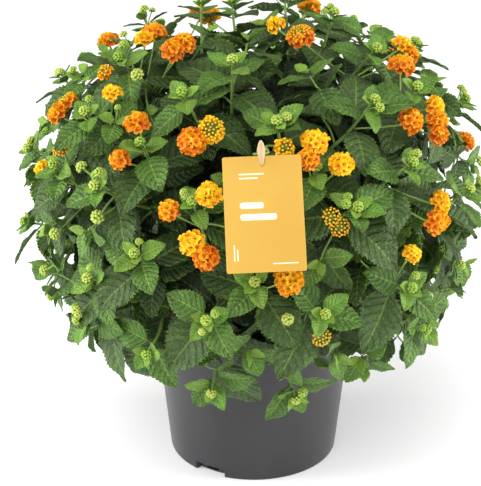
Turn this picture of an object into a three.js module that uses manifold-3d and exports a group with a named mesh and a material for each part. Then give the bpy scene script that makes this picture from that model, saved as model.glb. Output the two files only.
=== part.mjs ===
// A lantana in flower, standing in its round nursery pot with a name card clipped to one shoot.
//
// Millimetres, +Z up. The origin is the centre of the pot's flat underside, and the card faces -Y.
// The crown is a squarish dome. Woody limbs rise from the soil and end at forks inside the dome. From
// each fork a green shoot spreads to several tips, with opposite pairs of toothed leaves, and thin
// peduncles carry the flower heads. Leaves are placed one after another, the largest first. Each is
// swung, lifted or shortened until it is clear of everything placed before it.
import * as THREE from "three";
import { mergeVertices } from "three/addons/utils/BufferGeometryUtils.js";
import Module from "manifold-3d";

const wasm = await Module();
wasm.setup();

const DEGREE = Math.PI / 180;
const UP = new THREE.Vector3(0, 0, 1);
const GAP = 0.35; // kept between solids that meet

// ---- Pot and soil ----
const POT_HEIGHT = 150;
const POT_RIM_RADIUS = 95;
const POT_BASE_RADIUS = 80;
const POT_WALL = 2.4;
const POT_FLOOR = 3;
const RIM_BAND = 12; // height of the thicker band round the mouth
const RIM_STEP = 1.6; // how far that band stands out
const FOOT_HEIGHT = 15; // thick lower corner that the drain notches are cut in
const FOOT_INNER_RADIUS = 66;
const POT_SEGMENTS = 32;
const DRAIN_COUNT = 3;
const DRAIN_FIRST_ANGLE = -121; // degrees
const DRAIN_WIDTH = 31;
const DRAIN_HEIGHT = 9;
const DRAIN_DEPTH = 6;
const DRAIN_HOLE_WIDTH = 13;
const DRAIN_HOLE_HEIGHT = 6;
const SOIL_TOP = 136;
const SOIL_MOUND = 5; // rise of the soil towards the middle
const SOIL_SEGMENTS = 18;

// ---- Crown: the surface that the shoot tips reach ----
const CROWN_REACH = 200;
const CROWN_RISE = 172;
const CROWN_DROP = 150;
const CROWN_CENTRE_Z = 245;
const CROWN_SQUARENESS = 2.5; // 2 is an ellipsoid
const HEART_Z = 215; // point on the axis that the growth looks away from
const HUB_Z = 176; // height where the trunks divide into limbs
const FORK_SHARE = 0.54; // share of the way from hub to tips where a limb ends
const HEAD_LIFT = 5; // flower heads stand this far above the tips' surface
const HEAD_CLOSENESS = 0.62; // distance between the heads of one bloom, over the sum of their radii
const HEAD_UPTURN = 0.35; // how much the heads turn up from the direction of growth
const TIP_UPTURN = 0.45; // the same for the shoot tips
const TIP_CLEARANCE = 7; // between a shoot tip's knob and a head

// ---- Stems ----
const BASE_STEM_FOOT = 116; // the woody base stem, rooted in the soil
const BASE_STEM_TOP = 152;
const BASE_STEM_RADII = [9, 7];
const BASE_STEM_SIDES = 7;
const TRUNK_COUNT = 3; // trunks that the base stem divides into
const TRUNK_FOOT = 146;
const TRUNK_SPREAD = 22;
const TRUNK_RADII = [4, 5, 4];
const TRUNK_SIDES = 5;
const LIMB_RADIUS = 2.6;
const LIMB_RADII = [3.2, 2.8, 2.4];
const LIMB_PIECES = 2;
const LIMB_STEP = 4.5; // distance between the feet of two limbs on one trunk
const LIMB_ROOT_PULL = 0.3; // how far a limb rises before it turns, as a share of its length
const LIMB_END_PULL = 0.4;
const STEM_RADIUS = 1.4;
const MAIN_STEM_RADII = [1.7, 1.6, 1.4, 1.1];
const SIDE_STEM_RADII = [1, 1.5, 1.4, 1.1];
const STEM_PIECES = 3; // straight pieces in each stem
const BARE_FOOT = 12; // length of a stem above its root that bears no leaves
const ROOT_PULL = 0.3; // how far a stem keeps its first direction, as a share of its length
const TIP_PULL = 0.35; // how far back from its tip it already has its last direction
const SIDE_STEM_TURN = 1.5; // how strongly a side stem turns to its own tip
const PEDUNCLE_RADIUS = 0.8;
const PEDUNCLE_CHOICES = 3; // nearest stems that may carry a head
const PEDUNCLE_STEP = 7; // distance between the feet of two peduncles on one stem
const PEDUNCLE_BACK = 15; // least distance of a peduncle's foot behind the stem's tip
const PEDUNCLE_SLANT = 0.3; // how much further back it goes for each millimetre to the head
const PEDUNCLE_LIMIT = 0.8; // a foot is no further back than this share of the stem
const BUD_DEPTH = 0.4; // how far the peduncle runs into a bud head, as a share of its radius
const KNOB_LENGTH = 13;
const KNOB_RADIUS = 3.2;

// ---- Leaves: length with stalk, spread from the stem and droop in degrees, distance behind the tip ----
// A kind with an open distance only grows where its middle is at least that far from everything else.
const LARGE = { length: 58, spread: 76, droop: 38, stations: 4, back: 24 };
const MEDIUM = { length: 39, spread: 58, droop: 26, stations: 3, back: 7 };
const LOWER = { length: 54, spread: 82, droop: 44, stations: 3, back: 46, open: 22 };
const LEAF_HALF_WIDTH = 0.32; // of the length
const LEAF_STALK = 0.14; // of the length
const LEAF_HALF_THICKNESS = 0.75; // at the midrib
const LEAF_RIB_SHARE = 0.36; // where along the leaf the midrib is thickest
const LEAF_STALK_HALF_WIDTH = 1.1;
const LEAF_MIDDLE = 0.6; // share of the length where the open distance is taken
const LEAF_ROOT_DEPTH = 0.5; // how far a leaf's root runs past the stem's axis
const LEAF_FOLD = 12 * DEGREE; // each half rises this much from the midrib
const LEAF_SAG = 0.25; // how much a leaf's direction turns down
const FACE_UP = 0.5; // how much its upper face turns to the sky
const FACE_OUT = 0.3; // and away from the heart of the plant

// ---- Name card and its clip ----
const CARD_WIDTH = 60;
const CARD_HEIGHT = 90;
const CARD_THICKNESS = 0.8;
const CARD_TOP_CENTRE = new THREE.Vector3(3.5, -195, 356);
const CARD_LEAN = 34 * DEGREE; // back from upright
const CARD_TURN = 2.5 * DEGREE; // anticlockwise as seen from the front
const CLIP_LENGTH = 19;
const CLIP_WIDTH = 6.5;
const CLIP_DEPTH = 6;
const CLIP_GRIP = 7.5; // how far the clip reaches below the card's top edge
const HOLDER_SHOOT = 7; // index of the shoot whose side stalk passes through the clip
const HOLDER_BACK = 28; // the stalk's foot, behind that shoot's first tip
const HOLDER_BEND = new THREE.Vector3(6, -172, 357);
const HOLDER_RADIUS = 1;
const HOLDER_RISE = 1.7; // height of the stalk's axis over the card's top edge
const HOLDER_END = 6.5; // how far the stalk runs to each side of the clip's middle

// Shoots: the tips that grow from one fork, each as azimuth and elevation on the crown, in degrees.
const SHOOTS = [
  [[135, 75], [151, 61], [-151, 56]],
  [[-100, 62], [-113, 49]],
  [[69, 71], [6, 75], [-30, 61]],
  [[12, 48], [0, 28], [-32, 44]],
  [[176, 36], [-144, 36], [-170, 16]],
  [[-148, 19], [-170, -1]],
  [[-130, 18], [-123, 34]],
  [[-84, 41], [-54, 44]],
  [[-72, 29], [-50, 24], [-67, 16]],
  [[-28, 10], [-52, -3], [-44, -18]],
  [[-118, 4], [-131, -2], [-137, -16], [-117, -20]],
  [[-105, 18], [-101, -6], [-102, -36]],
  [[-90, 1], [-75, -6], [-78, -44]],
  [[70, 50], [100, 60], [124, 46]],
  [[30, 34], [50, 48], [56, 24]],
  [[84, 26], [108, 14]],
  [[140, 32], [134, 8], [160, 16]],
  [[2, 2], [30, 8], [16, -20]],
  [[60, 0], [72, -24]],
  [[100, -10], [124, -22]],
  [[152, -10], [172, -24]],
];

// Open flower heads that touch form one bloom, each head as azimuth, elevation and radius.
const BLOOMS = [
  [[-156, 65, 10], [-165, 72, 12]],
  [[-131, 69, 11], [-131, 62, 12]],
  [[-157, 32, 12], [-156, 38, 10]],
  [[-139, 45, 9]],
  [[-150, 50, 8]],
  [[-124, 38, 12]],
  [[-102, 39, 13], [-109, 33, 14]],
  [[-147, 24, 9]],
  [[-155, 16, 8]],
  [[-125, 27, 10]],
  [[-101, 21, 12]],
  [[-110, 16, 10]],
  [[-104, 9, 12], [-101, 6, 12]],
  [[-66, 82, 9]],
  [[-59, 74, 14]],
  [[-8, 56, 11], [-13, 47, 8]],
  [[-28, 52, 14]],
  [[-44, 36, 14]],
  [[-30, 37, 10], [-34, 31, 11], [-37, 26, 10]],
  [[-83, 34, 9]],
  [[-75, 35, 13], [-77, 31, 11]],
  [[-69, 28, 12]],
  [[-73, 15, 8], [-71, 12, 9]],
  [[-42, 12, 13], [-45, 7, 13], [-34, 6, 8]],
  [[-83, 2, 15]],
  [[-52, 3, 9]],
  [[-75, -11, 9]],
  [[62, 62, 13]],
  [[112, 52, 12], [104, 48, 12]],
  [[150, 44, 12]],
  [[40, 36, 14]],
  [[92, 16, 13], [98, 12, 11]],
  [[142, 8, 12]],
  [[14, 10, 13]],
];

// Heads still in green bud, which belong to the shoots themselves.
const BUD_HEADS = [
  [-135, 53, 6.5],
  [-137, 22, 6],
  [-129, 11, 7],
  [-145, 3, 6],
  [-83, -5, 6],
  [-45, -7, 5],
];

// ---- Small helpers ----
const vec = (x, y, z) => new THREE.Vector3(x, y, z);
const plus = (point, direction, distance) => point.clone().addScaledVector(direction, distance);
const between = (from, to) => to.clone().sub(from);

// Random numbers from 0 to 1 that depend only on the seed.
function randomFrom(seed) {
  let state = seed * 7919 + 17;
  const next = () => {
    state = (state * 16807) % 2147483647;
    return state / 2147483647;
  };
  next();
  next();
  return next;
}

function crownPoint(azimuth, elevation, lift = 0) {
  const power = 2 / CROWN_SQUARENESS;
  const turn = azimuth * DEGREE;
  const rise = elevation * DEGREE;
  const half = rise > 0 ? CROWN_RISE : CROWN_DROP;
  const out = (CROWN_REACH + lift) * Math.cos(rise) ** power;
  const up = (half + lift) * Math.abs(Math.sin(rise)) ** power * Math.sign(rise);
  return vec(out * Math.cos(turn), out * Math.sin(turn), CROWN_CENTRE_Z + up);
}

// Direction of growth at a point: away from the heart of the plant, turned up by the given amount.
function growth(point, upward) {
  return between(vec(0, 0, HEART_Z), point).normalize().addScaledVector(UP, upward).normalize();
}

// The first of two unit vectors that are square to each other, turned towards the second.
function turned(first, second, angle) {
  return first.clone().multiplyScalar(Math.cos(angle)).addScaledVector(second, Math.sin(angle));
}

// A unit vector square to the given one, turned about it by an angle.
function sideways(direction, angle) {
  const reference = Math.abs(direction.z) < 0.9 ? UP : vec(1, 0, 0);
  const first = reference.clone().cross(direction).normalize();
  const second = direction.clone().cross(first);
  return turned(first, second, angle);
}

// ---- Solids ----
function meshSolid(geometry) {
  const bare = geometry.clone();
  bare.deleteAttribute("normal");
  bare.deleteAttribute("uv");
  const merged = mergeVertices(bare, 1e-4);
  return new wasm.Manifold(new wasm.Mesh({
    numProp: 3,
    vertProperties: new Float32Array(merged.attributes.position.array),
    triVerts: new Uint32Array(merged.index.array),
  }));
}

function indexedGeometry(points, faces) {
  const geometry = new THREE.BufferGeometry();
  const numbers = points.flatMap((point) => point.toArray());
  geometry.setAttribute("position", new THREE.Float32BufferAttribute(numbers, 3));
  geometry.setIndex(faces.flat());
  return geometry;
}

function solidGeometry(solid) {
  const mesh = solid.getMesh();
  const geometry = new THREE.BufferGeometry();
  const numbers = new Float32Array(mesh.vertProperties);
  geometry.setAttribute("position", new THREE.BufferAttribute(numbers, 3));
  geometry.setIndex(new THREE.BufferAttribute(new Uint32Array(mesh.triVerts), 1));
  geometry.computeVertexNormals();
  return geometry;
}

function joined(solids) {
  return solids.reduce((whole, piece) => whole.add(piece));
}

// Directions across a route at each of its points, carried along it without twisting.
// An end can be given its own direction, which squares it off to a neighbour.
function routeFrames(points, startDirection = null, endDirection = null) {
  let first = null;
  const last = points.length - 1;
  return points.map((point, i) => {
    const along = between(points[Math.max(i - 1, 0)], points[Math.min(i + 1, last)]).normalize();
    const direction = (i === 0 && startDirection) || (i === last && endDirection) || along;
    first = first ? plus(first, direction, -first.dot(direction)).normalize() : sideways(direction, 0);
    return { first, second: direction.clone().cross(first) };
  });
}

// A straight-sided rod through the points, with its own radius at each. A radius of 0 is a pointed end.
function rod(points, radii, sides, startDirection, endDirection) {
  const vertices = [];
  const faces = [];
  const frames = routeFrames(points, startDirection, endDirection);
  let previous = null;
  points.forEach((point, i) => {
    const { first, second } = frames[i];
    const ring = [];
    for (let k = 0; k < (radii[i] > 0 ? sides : 1); k++) {
      const angle = (k * 2 * Math.PI) / sides;
      const vertex = plus(plus(point, first, radii[i] * Math.cos(angle)), second, radii[i] * Math.sin(angle));
      ring.push(vertices.push(vertex) - 1);
    }
    if (previous) {
      for (let k = 0; k < sides; k++) {
        const a = previous[k % previous.length];
        const b = previous[(k + 1) % previous.length];
        const c = ring[k % ring.length];
        const d = ring[(k + 1) % ring.length];
        if (a !== b) faces.push([a, b, d]);
        if (c !== d) faces.push([a, d, c]);
      }
    }
    previous = ring;
  });
  const start = radii[0] > 0 ? sides : 1;
  for (let k = 2; k < start; k++) faces.push([0, k, k - 1]);
  for (let k = 2; k < previous.length; k++) faces.push([previous[0], previous[k - 1], previous[k]]);
  return meshSolid(indexedGeometry(vertices, faces));
}

// ---- Room: what has been placed so far, as small balls in a grid and larger balls in a list ----
const CELL = 6;
const LEAF_REACH = 2.2; // half the clear distance between two leaves
const OWN_SHARE = 0.5; // leaves of one shoot may come this much closer
const ROUTE_MARGIN = 1; // added to the radius of a stem
const KNOB_MARGIN = 0.6;
const POT_CLEARANCE = 4;
const CARD_CLEARANCE = 3;
const CARD_VIEW = 14; // free depth in front of the card
const CLIP_VIEW = 30; // free depth in front of the clip
const roomGrid = new Map();
const largeBalls = [];

const cellKey = (x, y, z) => `${x},${y},${z}`;

function occupy(balls, owner) {
  for (const ball of balls) {
    const key = cellKey(...ball.point.toArray().map((value) => Math.floor(value / CELL)));
    if (!roomGrid.has(key)) roomGrid.set(key, []);
    roomGrid.get(key).push({ ...ball, owner });
  }
}

function ballBlocked(ball, owner) {
  const { point, reach, near } = ball;
  const [cellX, cellY, cellZ] = point.toArray().map((value) => Math.floor(value / CELL));
  for (let x = cellX - 1; x <= cellX + 1; x++) {
    for (let y = cellY - 1; y <= cellY + 1; y++) {
      for (let z = cellZ - 1; z <= cellZ + 1; z++) {
        for (const other of roomGrid.get(cellKey(x, y, z)) ?? []) {
          const same = other.owner === owner;
          if (same && near && other.near) continue;
          const needed = (reach + other.reach) * (same ? OWN_SHARE : 1);
          if (point.distanceTo(other.point) < needed) return true;
        }
      }
    }
  }
  return largeBalls.some((large) => point.distanceTo(large.point) < large.radius + reach);
}

function insidePotRoom(point) {
  const outward = Math.hypot(point.x, point.y);
  return point.z < POT_HEIGHT + POT_CLEARANCE && outward < POT_RIM_RADIUS + RIM_STEP + POT_CLEARANCE;
}

// The card and the clip keep leaves off their faces and out of the space in front of them.
function insideCardRoom(point) {
  const { x, y, z } = point.clone().applyMatrix4(cardInverse);
  const clipTop = CLIP_LENGTH - CLIP_GRIP + CARD_CLEARANCE;
  const besideCard = Math.abs(x) < CARD_WIDTH / 2 + CARD_CLEARANCE
    && y > -CARD_HEIGHT - CARD_CLEARANCE && y < CARD_CLEARANCE;
  const besideClip = Math.abs(x) < CLIP_WIDTH / 2 + CARD_CLEARANCE && y > -CLIP_GRIP && y < clipTop;
  return (besideCard && z > -CARD_CLEARANCE && z < CARD_VIEW)
    || (besideClip && z > -CLIP_DEPTH / 2 - CARD_CLEARANCE && z < CLIP_VIEW);
}

// Distance from a point to the nearest thing placed so far.
function gapAt(point) {
  let gap = Infinity;
  for (const balls of roomGrid.values()) {
    for (const ball of balls) gap = Math.min(gap, point.distanceTo(ball.point));
  }
  for (const large of largeBalls) gap = Math.min(gap, point.distanceTo(large.point) - large.radius);
  return gap;
}

function hasRoom(balls, owner) {
  return balls.every((ball) => {
    if (insidePotRoom(ball.point) || insideCardRoom(ball.point)) return false;
    return !ballBlocked(ball, owner);
  });
}

// ---- Stems as smooth routes ----
// A bent route of a few straight pieces, drawn from a smooth curve that keeps to the pulls at its ends.
function route(start, startPull, endPull, end, pieces) {
  const afterStart = start.clone().add(startPull);
  const beforeEnd = end.clone().sub(endPull);
  return new THREE.CubicBezierCurve3(start, afterStart, beforeEnd, end).getPoints(pieces);
}

// The point and direction at a distance back from the end of a route.
function backFromEnd(points, distance) {
  let left = distance;
  for (let i = points.length - 1; i > 0; i--) {
    const step = between(points[i - 1], points[i]);
    const length = step.length();
    if (left <= length || i === 1) {
      const direction = step.normalize();
      return { point: plus(points[i], direction, -left), direction };
    }
    left -= length;
  }
}

const BALL_STEP = 3;

function routeBalls(points, radius, near) {
  const balls = [];
  for (let i = 1; i < points.length; i++) {
    const count = Math.ceil(points[i].distanceTo(points[i - 1]) / BALL_STEP);
    for (let k = 1; k <= count; k++) {
      const point = points[i - 1].clone().lerp(points[i], k / count);
      balls.push({ point, reach: radius + ROUTE_MARGIN, near });
    }
  }
  return balls;
}

// ---- Leaves ----
// Half width as a share of the widest, at a share of the way along the leaf, stalk included.
function leafShape(share) {
  const blade = (share - LEAF_STALK) / (1 - LEAF_STALK);
  if (blade <= 0 || blade >= 1) return 0;
  return Math.sin(Math.PI * blade ** 0.68) ** 0.8;
}

// Where the outline bends: share of the length, and how far the tooth stands out or in.
const OUTLINE = {
  4: [[0.2, 0.98], [0.42, 1.06], [0.47, 0.88], [0.68, 1.1]],
  3: [[0.22, 0.98], [0.48, 1.06], [0.54, 0.84]],
};

function leafFrame(root, stemDirection, side, kind, swing, lift) {
  const spread = kind.spread * DEGREE;
  const along = turned(stemDirection, side, spread);
  const face = turned(stemDirection, side, spread - Math.PI / 2);
  along.addScaledVector(UP, -LEAF_SAG).normalize();
  face.addScaledVector(UP, FACE_UP).addScaledVector(growth(root, 0), FACE_OUT).normalize();
  along.addScaledVector(face, -along.dot(face)).normalize();
  const across = face.clone().cross(along);
  const swung = turned(along, across, swing);
  const lifted = turned(swung, face, lift);
  const turnedFace = turned(face, swung, -lift);
  return { root, along: lifted, face: turnedFace, across: turnedFace.clone().cross(lifted) };
}

// A point of a leaf: distance along its drooping midrib, distance across, and height over the blade.
function leafPoint(leaf, distance, offset, height = 0) {
  const droop = leaf.kind.droop * DEGREE;
  const bend = (droop * distance) / leaf.length;
  const radius = leaf.length / droop;
  const normal = leaf.face.clone().multiplyScalar(Math.cos(bend)).addScaledVector(leaf.along, Math.sin(bend));
  return leaf.root.clone()
    .addScaledVector(leaf.along, radius * Math.sin(bend))
    .addScaledVector(leaf.face, -radius * (1 - Math.cos(bend)))
    .addScaledVector(leaf.across, offset * Math.cos(LEAF_FOLD))
    .addScaledVector(normal, Math.abs(offset) * Math.sin(LEAF_FOLD) + height);
}

const SAMPLE_STEP = 4;

function leafBalls(leaf) {
  const balls = [];
  const rows = Math.ceil(leaf.length / SAMPLE_STEP);
  for (let row = 1; row <= rows; row++) {
    const share = row / rows;
    const half = leafShape(share) * LEAF_HALF_WIDTH * leaf.length;
    const columns = Math.ceil(half / SAMPLE_STEP);
    const near = share < 0.3;
    for (let column = -columns; column <= columns; column++) {
      const offset = columns === 0 ? 0 : (half * column) / columns;
      balls.push({ point: leafPoint(leaf, share * leaf.length, offset), reach: LEAF_REACH, near });
    }
  }
  return balls;
}

// Ways to clear the neighbours, in the order they are tried: swing and lift in degrees, share of length.
const TRIES = [1, 0.86, 0.72].flatMap((share) => [
  [0, 0], [0, -12], [14, 0], [-14, 0], [0, 14], [22, -14], [-22, -14],
  [0, -28], [30, 6], [-30, 6], [0, 28], [42, -10], [-42, -10], [20, 30], [-20, 30],
].map(([swing, lift]) => [swing, lift, share]));

function placeLeaf(root, stemDirection, side, kind, length, owner) {
  for (const [swing, lift, share] of TRIES) {
    const frame = leafFrame(root, stemDirection, side, kind, swing * DEGREE, lift * DEGREE);
    const leaf = { ...frame, kind, length: length * share };
    const balls = leafBalls(leaf);
    const middle = leafPoint(leaf, LEAF_MIDDLE * leaf.length, 0);
    if (hasRoom(balls, owner) && (!kind.open || gapAt(middle) > kind.open)) {
      occupy(balls, owner);
      return leaf;
    }
  }
  return null;
}

// One leaf as a closed blade: a thin wedge on each side of a thick midrib, with a toothed outline.
function leafSolid(leaf) {
  const { length, kind } = leaf;
  const halfWidth = LEAF_HALF_WIDTH * length;
  const outline = OUTLINE[kind.stations];
  const points = [leafPoint(leaf, -LEAF_ROOT_DEPTH, 0)];
  const edges = [-1, 1].map((side) => {
    const edge = [points.push(leafPoint(leaf, 0.055 * length, side * LEAF_STALK_HALF_WIDTH)) - 1];
    for (const [share, tooth] of outline) {
      const offset = side * leafShape(share) * halfWidth * tooth;
      edge.push(points.push(leafPoint(leaf, share * length, offset)) - 1);
    }
    return edge;
  });
  const tip = points.push(leafPoint(leaf, length, 0)) - 1;
  const faces = [];
  for (const height of [LEAF_HALF_THICKNESS, -LEAF_HALF_THICKNESS]) {
    const rib = points.push(leafPoint(leaf, LEAF_RIB_SHARE * length, 0, height)) - 1;
    edges.forEach((edge, side) => {
      const rim = [0, ...edge, tip];
      const flip = (side === 0) === (height > 0);
      for (let i = 1; i < rim.length; i++) {
        faces.push(flip ? [rim[i - 1], rim[i], rib] : [rim[i], rim[i - 1], rib]);
      }
    });
  }
  return meshSolid(indexedGeometry(points, faces));
}

// ---- Flower heads ----
// A domed head: one floret on top and a ring of florets on the flanks. Each floret is a cup round a
// throat, with a lobe over each edge of its face. The two lobes over a shared edge lean apart.
const WIDE_HEAD_RADIUS = 12; // heads from this radius up have five florets round the flanks, others four
const SHOULDER_OUT = 0.45; // ring of corners round the top floret, in shares of the head's radius
const SHOULDER_UP = 0.5;
const RIM_OUT = 0.86; // ring of corners under the flank florets
const RIM_UP = -0.1;
const HEAD_DEPTH = 0.45; // how far the head's underside reaches below its centre
const LOBE_RISE = 0.25; // height of a lobe over its face
const LOBE_SPREAD = 0.12; // how far a lobe leans out over its edge
const THROAT_RISE = 0.08; // height of the throat over its face

function headAxes(head) {
  const first = sideways(head.axis, head.spin);
  return { axis: head.axis, first, second: head.axis.clone().cross(first) };
}

function headSolid(head) {
  const { centre, radius } = head;
  const { axis, first, second } = headAxes(head);
  const sides = radius >= WIDE_HEAD_RADIUS ? 5 : 4;
  const points = [];
  const faces = [];

  function addCorner(i, out, up) {
    const outward = turned(first, second, (i * 2 * Math.PI) / sides);
    return points.push(plus(plus(centre, outward, out * radius), axis, up * radius)) - 1;
  }

  const upper = Array.from({ length: sides }, (_, i) => addCorner(i, SHOULDER_OUT, SHOULDER_UP));
  const lower = Array.from({ length: sides }, (_, i) => addCorner(i, RIM_OUT, RIM_UP));
  const bottom = addCorner(0, 0, -HEAD_DEPTH);

  // One cupped floret over a face of the dome, given by the ring of that face's corners.
  function addFloret(corners) {
    const middle = vec(0, 0, 0);
    corners.forEach((corner) => middle.add(points[corner]));
    middle.divideScalar(corners.length);
    const normal = between(points[corners[0]], points[corners[1]])
      .cross(between(points[corners[0]], points[corners[2]])).normalize();
    const throat = points.push(plus(middle, normal, radius * THROAT_RISE)) - 1;
    corners.forEach((corner, i) => {
      const next = corners[(i + 1) % corners.length];
      const edge = points[corner].clone().lerp(points[next], 0.5);
      const raised = plus(edge, normal, radius * LOBE_RISE);
      const lobe = points.push(plus(raised, between(middle, edge).normalize(), radius * LOBE_SPREAD)) - 1;
      faces.push([corner, lobe, throat], [lobe, next, throat], [corner, next, lobe]);
    });
  }

  addFloret(upper);
  for (let i = 0; i < sides; i++) {
    const next = (i + 1) % sides;
    addFloret([lower[i], lower[next], upper[next], upper[i]]);
    faces.push([lower[next], lower[i], bottom]);
  }
  return meshSolid(indexedGeometry(points, faces));
}

// A head in bud: a small knobbly dome.
function budHeadSolid(head) {
  const { centre, radius } = head;
  const { axis, first, second } = headAxes(head);
  const points = [plus(centre, axis, radius * 0.7), plus(centre, axis, -radius * 0.7)];
  const faces = [];
  const corners = 8;
  for (let i = 0; i < corners; i++) {
    const turn = (i * 2 * Math.PI) / corners;
    const out = radius * (i % 2 === 0 ? 1 : 0.78);
    const up = radius * (i % 2 === 0 ? 0.05 : 0.3);
    const point = plus(plus(centre, first, out * Math.cos(turn)), second, out * Math.sin(turn));
    points.push(plus(point, axis, up));
    const here = 2 + i;
    const next = 2 + ((i + 1) % corners);
    faces.push([0, here, next], [1, next, here]);
  }
  return meshSolid(indexedGeometry(points, faces));
}

// ---- Layout: heads, card, stems, then leaves ----
const cardFrame = new THREE.Matrix4().makeTranslation(CARD_TOP_CENTRE)
  .multiply(new THREE.Matrix4().makeRotationX(Math.PI / 2 - CARD_LEAN))
  .multiply(new THREE.Matrix4().makeRotationZ(CARD_TURN));
const cardInverse = cardFrame.clone().invert();

const blooms = BLOOMS.map((heads, bloomIndex) => {
  const random = randomFrom(500 + bloomIndex);
  const placed = [];
  for (const [azimuth, elevation, radius] of heads) {
    const centre = crownPoint(azimuth, elevation, HEAD_LIFT);
    const previous = placed[placed.length - 1];
    if (previous) {
      const apart = between(previous.centre, centre);
      const touching = HEAD_CLOSENESS * (radius + previous.radius);
      centre.copy(plus(previous.centre, apart.normalize(), touching));
    }
    placed.push({ centre, radius, axis: growth(centre, HEAD_UPTURN), spin: random() * Math.PI });
  }
  return placed;
});
const budHeads = BUD_HEADS.map(([azimuth, elevation, radius], index) => {
  const centre = crownPoint(azimuth, elevation, HEAD_LIFT);
  return { centre, radius, axis: growth(centre, HEAD_UPTURN), spin: index };
});
const openHeads = blooms.flat();
for (const head of [...openHeads, ...budHeads]) largeBalls.push({ point: head.centre, radius: head.radius });

// A shoot tip steps aside from any head that stands too near it.
function clearTip(tip) {
  for (const head of [...openHeads, ...budHeads]) {
    const away = between(head.centre, tip);
    const missing = head.radius + KNOB_RADIUS + TIP_CLEARANCE - away.length();
    if (missing > 0) tip.addScaledVector(away.normalize(), missing);
  }
  return tip;
}

// The stems of one shoot: the first runs from the fork to its tip, and the others branch off it.
function shootStems(start, forkDirection, tips, random) {
  const stems = [];
  tips.forEach((tip, i) => {
    const main = stems[0];
    const root = main ? main.points[0].clone().lerp(main.points[1], i / tips.length) : start;
    const length = root.distanceTo(tip);
    const toTip = between(root, tip).normalize();
    const sideDirection = plus(forkDirection, toTip, SIDE_STEM_TURN).normalize();
    const rootDirection = main ? sideDirection : forkDirection;
    const tipDirection = growth(tip, TIP_UPTURN);
    const startPull = rootDirection.clone().multiplyScalar(ROOT_PULL * length);
    const endPull = tipDirection.clone().multiplyScalar(TIP_PULL * length);
    const points = route(root, startPull, endPull, tip, STEM_PIECES);
    const { direction } = backFromEnd(points, 0);
    const knob = [plus(tip, direction, KNOB_LENGTH - KNOB_RADIUS), plus(tip, direction, KNOB_LENGTH)];
    const quarter = Math.floor(random() * 2);
    stems.push({ points, knob, length, quarter, peduncleCount: 0 });
  });
  return stems;
}

const shoots = SHOOTS.map((tipAngles, shootIndex) => {
  const tips = tipAngles.map(([azimuth, elevation]) => clearTip(crownPoint(azimuth, elevation)));
  const middle = tips.reduce((sum, tip) => sum.add(tip), vec(0, 0, 0)).divideScalar(tips.length);
  const hub = vec(0, 0, HUB_Z);
  const forkDirection = between(hub, middle).normalize();
  const fork = hub.clone().lerp(middle, FORK_SHARE);
  const stems = shootStems(plus(fork, forkDirection, GAP), forkDirection, tips, randomFrom(shootIndex));
  const name = `shoot_${String(shootIndex + 1).padStart(2, "0")}`;
  return { name, fork, forkDirection, stems, peduncles: [], leaves: [] };
});

// Each head stands on a peduncle from the nearest stem that leads to it past no other head. A head
// that has no such stem is carried by its neighbour in the bloom.
function addPeduncle(head, isBud) {
  const depth = isBud ? BUD_DEPTH * head.radius : HEAD_DEPTH * head.radius + GAP;
  const stems = shoots.flatMap((shoot) => shoot.stems.map((stem) => {
    return { shoot, stem, distance: stem.points[STEM_PIECES].distanceTo(head.centre) };
  })).sort((a, b) => a.distance - b.distance);
  for (const { shoot, stem, distance } of stems.slice(0, PEDUNCLE_CHOICES)) {
    const back = PEDUNCLE_BACK + PEDUNCLE_SLANT * distance + PEDUNCLE_STEP * stem.peduncleCount;
    const { point } = backFromEnd(stem.points, Math.min(back, PEDUNCLE_LIMIT * stem.length));
    const axis = growth(head.centre, HEAD_UPTURN).add(between(point, head.centre).normalize()).normalize();
    const end = plus(head.centre, axis, -depth);
    const balls = routeBalls([point, end], PEDUNCLE_RADIUS, false);
    const passes = largeBalls.some((ball) => ball.point !== head.centre
      && balls.some((along) => along.point.distanceTo(ball.point) < ball.radius + PEDUNCLE_RADIUS));
    if (!passes) {
      head.axis = axis;
      stem.peduncleCount += 1;
      shoot.peduncles.push({ points: [point, end], head: isBud ? head : null });
      return;
    }
  }
}
openHeads.forEach((head) => addPeduncle(head, false));
budHeads.forEach((head) => addPeduncle(head, true));

// The stalk that carries the clip: it runs through the clip's hollow, along the card's top edge.
const holder = [
  backFromEnd(shoots[HOLDER_SHOOT].stems[0].points, HOLDER_BACK).point,
  HOLDER_BEND,
  vec(HOLDER_END, HOLDER_RISE, CARD_THICKNESS / 2).applyMatrix4(cardFrame),
  vec(-HOLDER_END, HOLDER_RISE, CARD_THICKNESS / 2).applyMatrix4(cardFrame),
];

// Woody routes: a base stem out of the soil, the trunks it divides into, and a limb to each fork.
const baseStem = [vec(0, 0, BASE_STEM_FOOT), vec(0, 0, BASE_STEM_TOP)];
const trunks = Array.from({ length: TRUNK_COUNT }, (_, i) => {
  const angle = ((i + 0.25) * 2 * Math.PI) / TRUNK_COUNT;
  const top = vec(TRUNK_SPREAD * Math.cos(angle), TRUNK_SPREAD * Math.sin(angle), HUB_Z);
  const foot = vec(0, 0, TRUNK_FOOT);
  return [foot, foot.clone().lerp(top, 0.4), top];
});
const limbsOnTrunk = trunks.map(() => 0);
const limbs = shoots.map(({ fork, forkDirection }) => {
  const distances = trunks.map((trunk) => trunk[2].distanceTo(fork));
  const nearest = distances.indexOf(Math.min(...distances));
  const [foot, , top] = trunks[nearest];
  limbsOnTrunk[nearest] += 1;
  const start = plus(top, between(top, foot).normalize(), LIMB_STEP * limbsOnTrunk[nearest]);
  const reach = start.distanceTo(fork);
  const startPull = vec(0, 0, LIMB_ROOT_PULL * reach);
  const endPull = forkDirection.clone().multiplyScalar(LIMB_END_PULL * reach);
  return route(start, startPull, endPull, fork, LIMB_PIECES);
});

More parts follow.
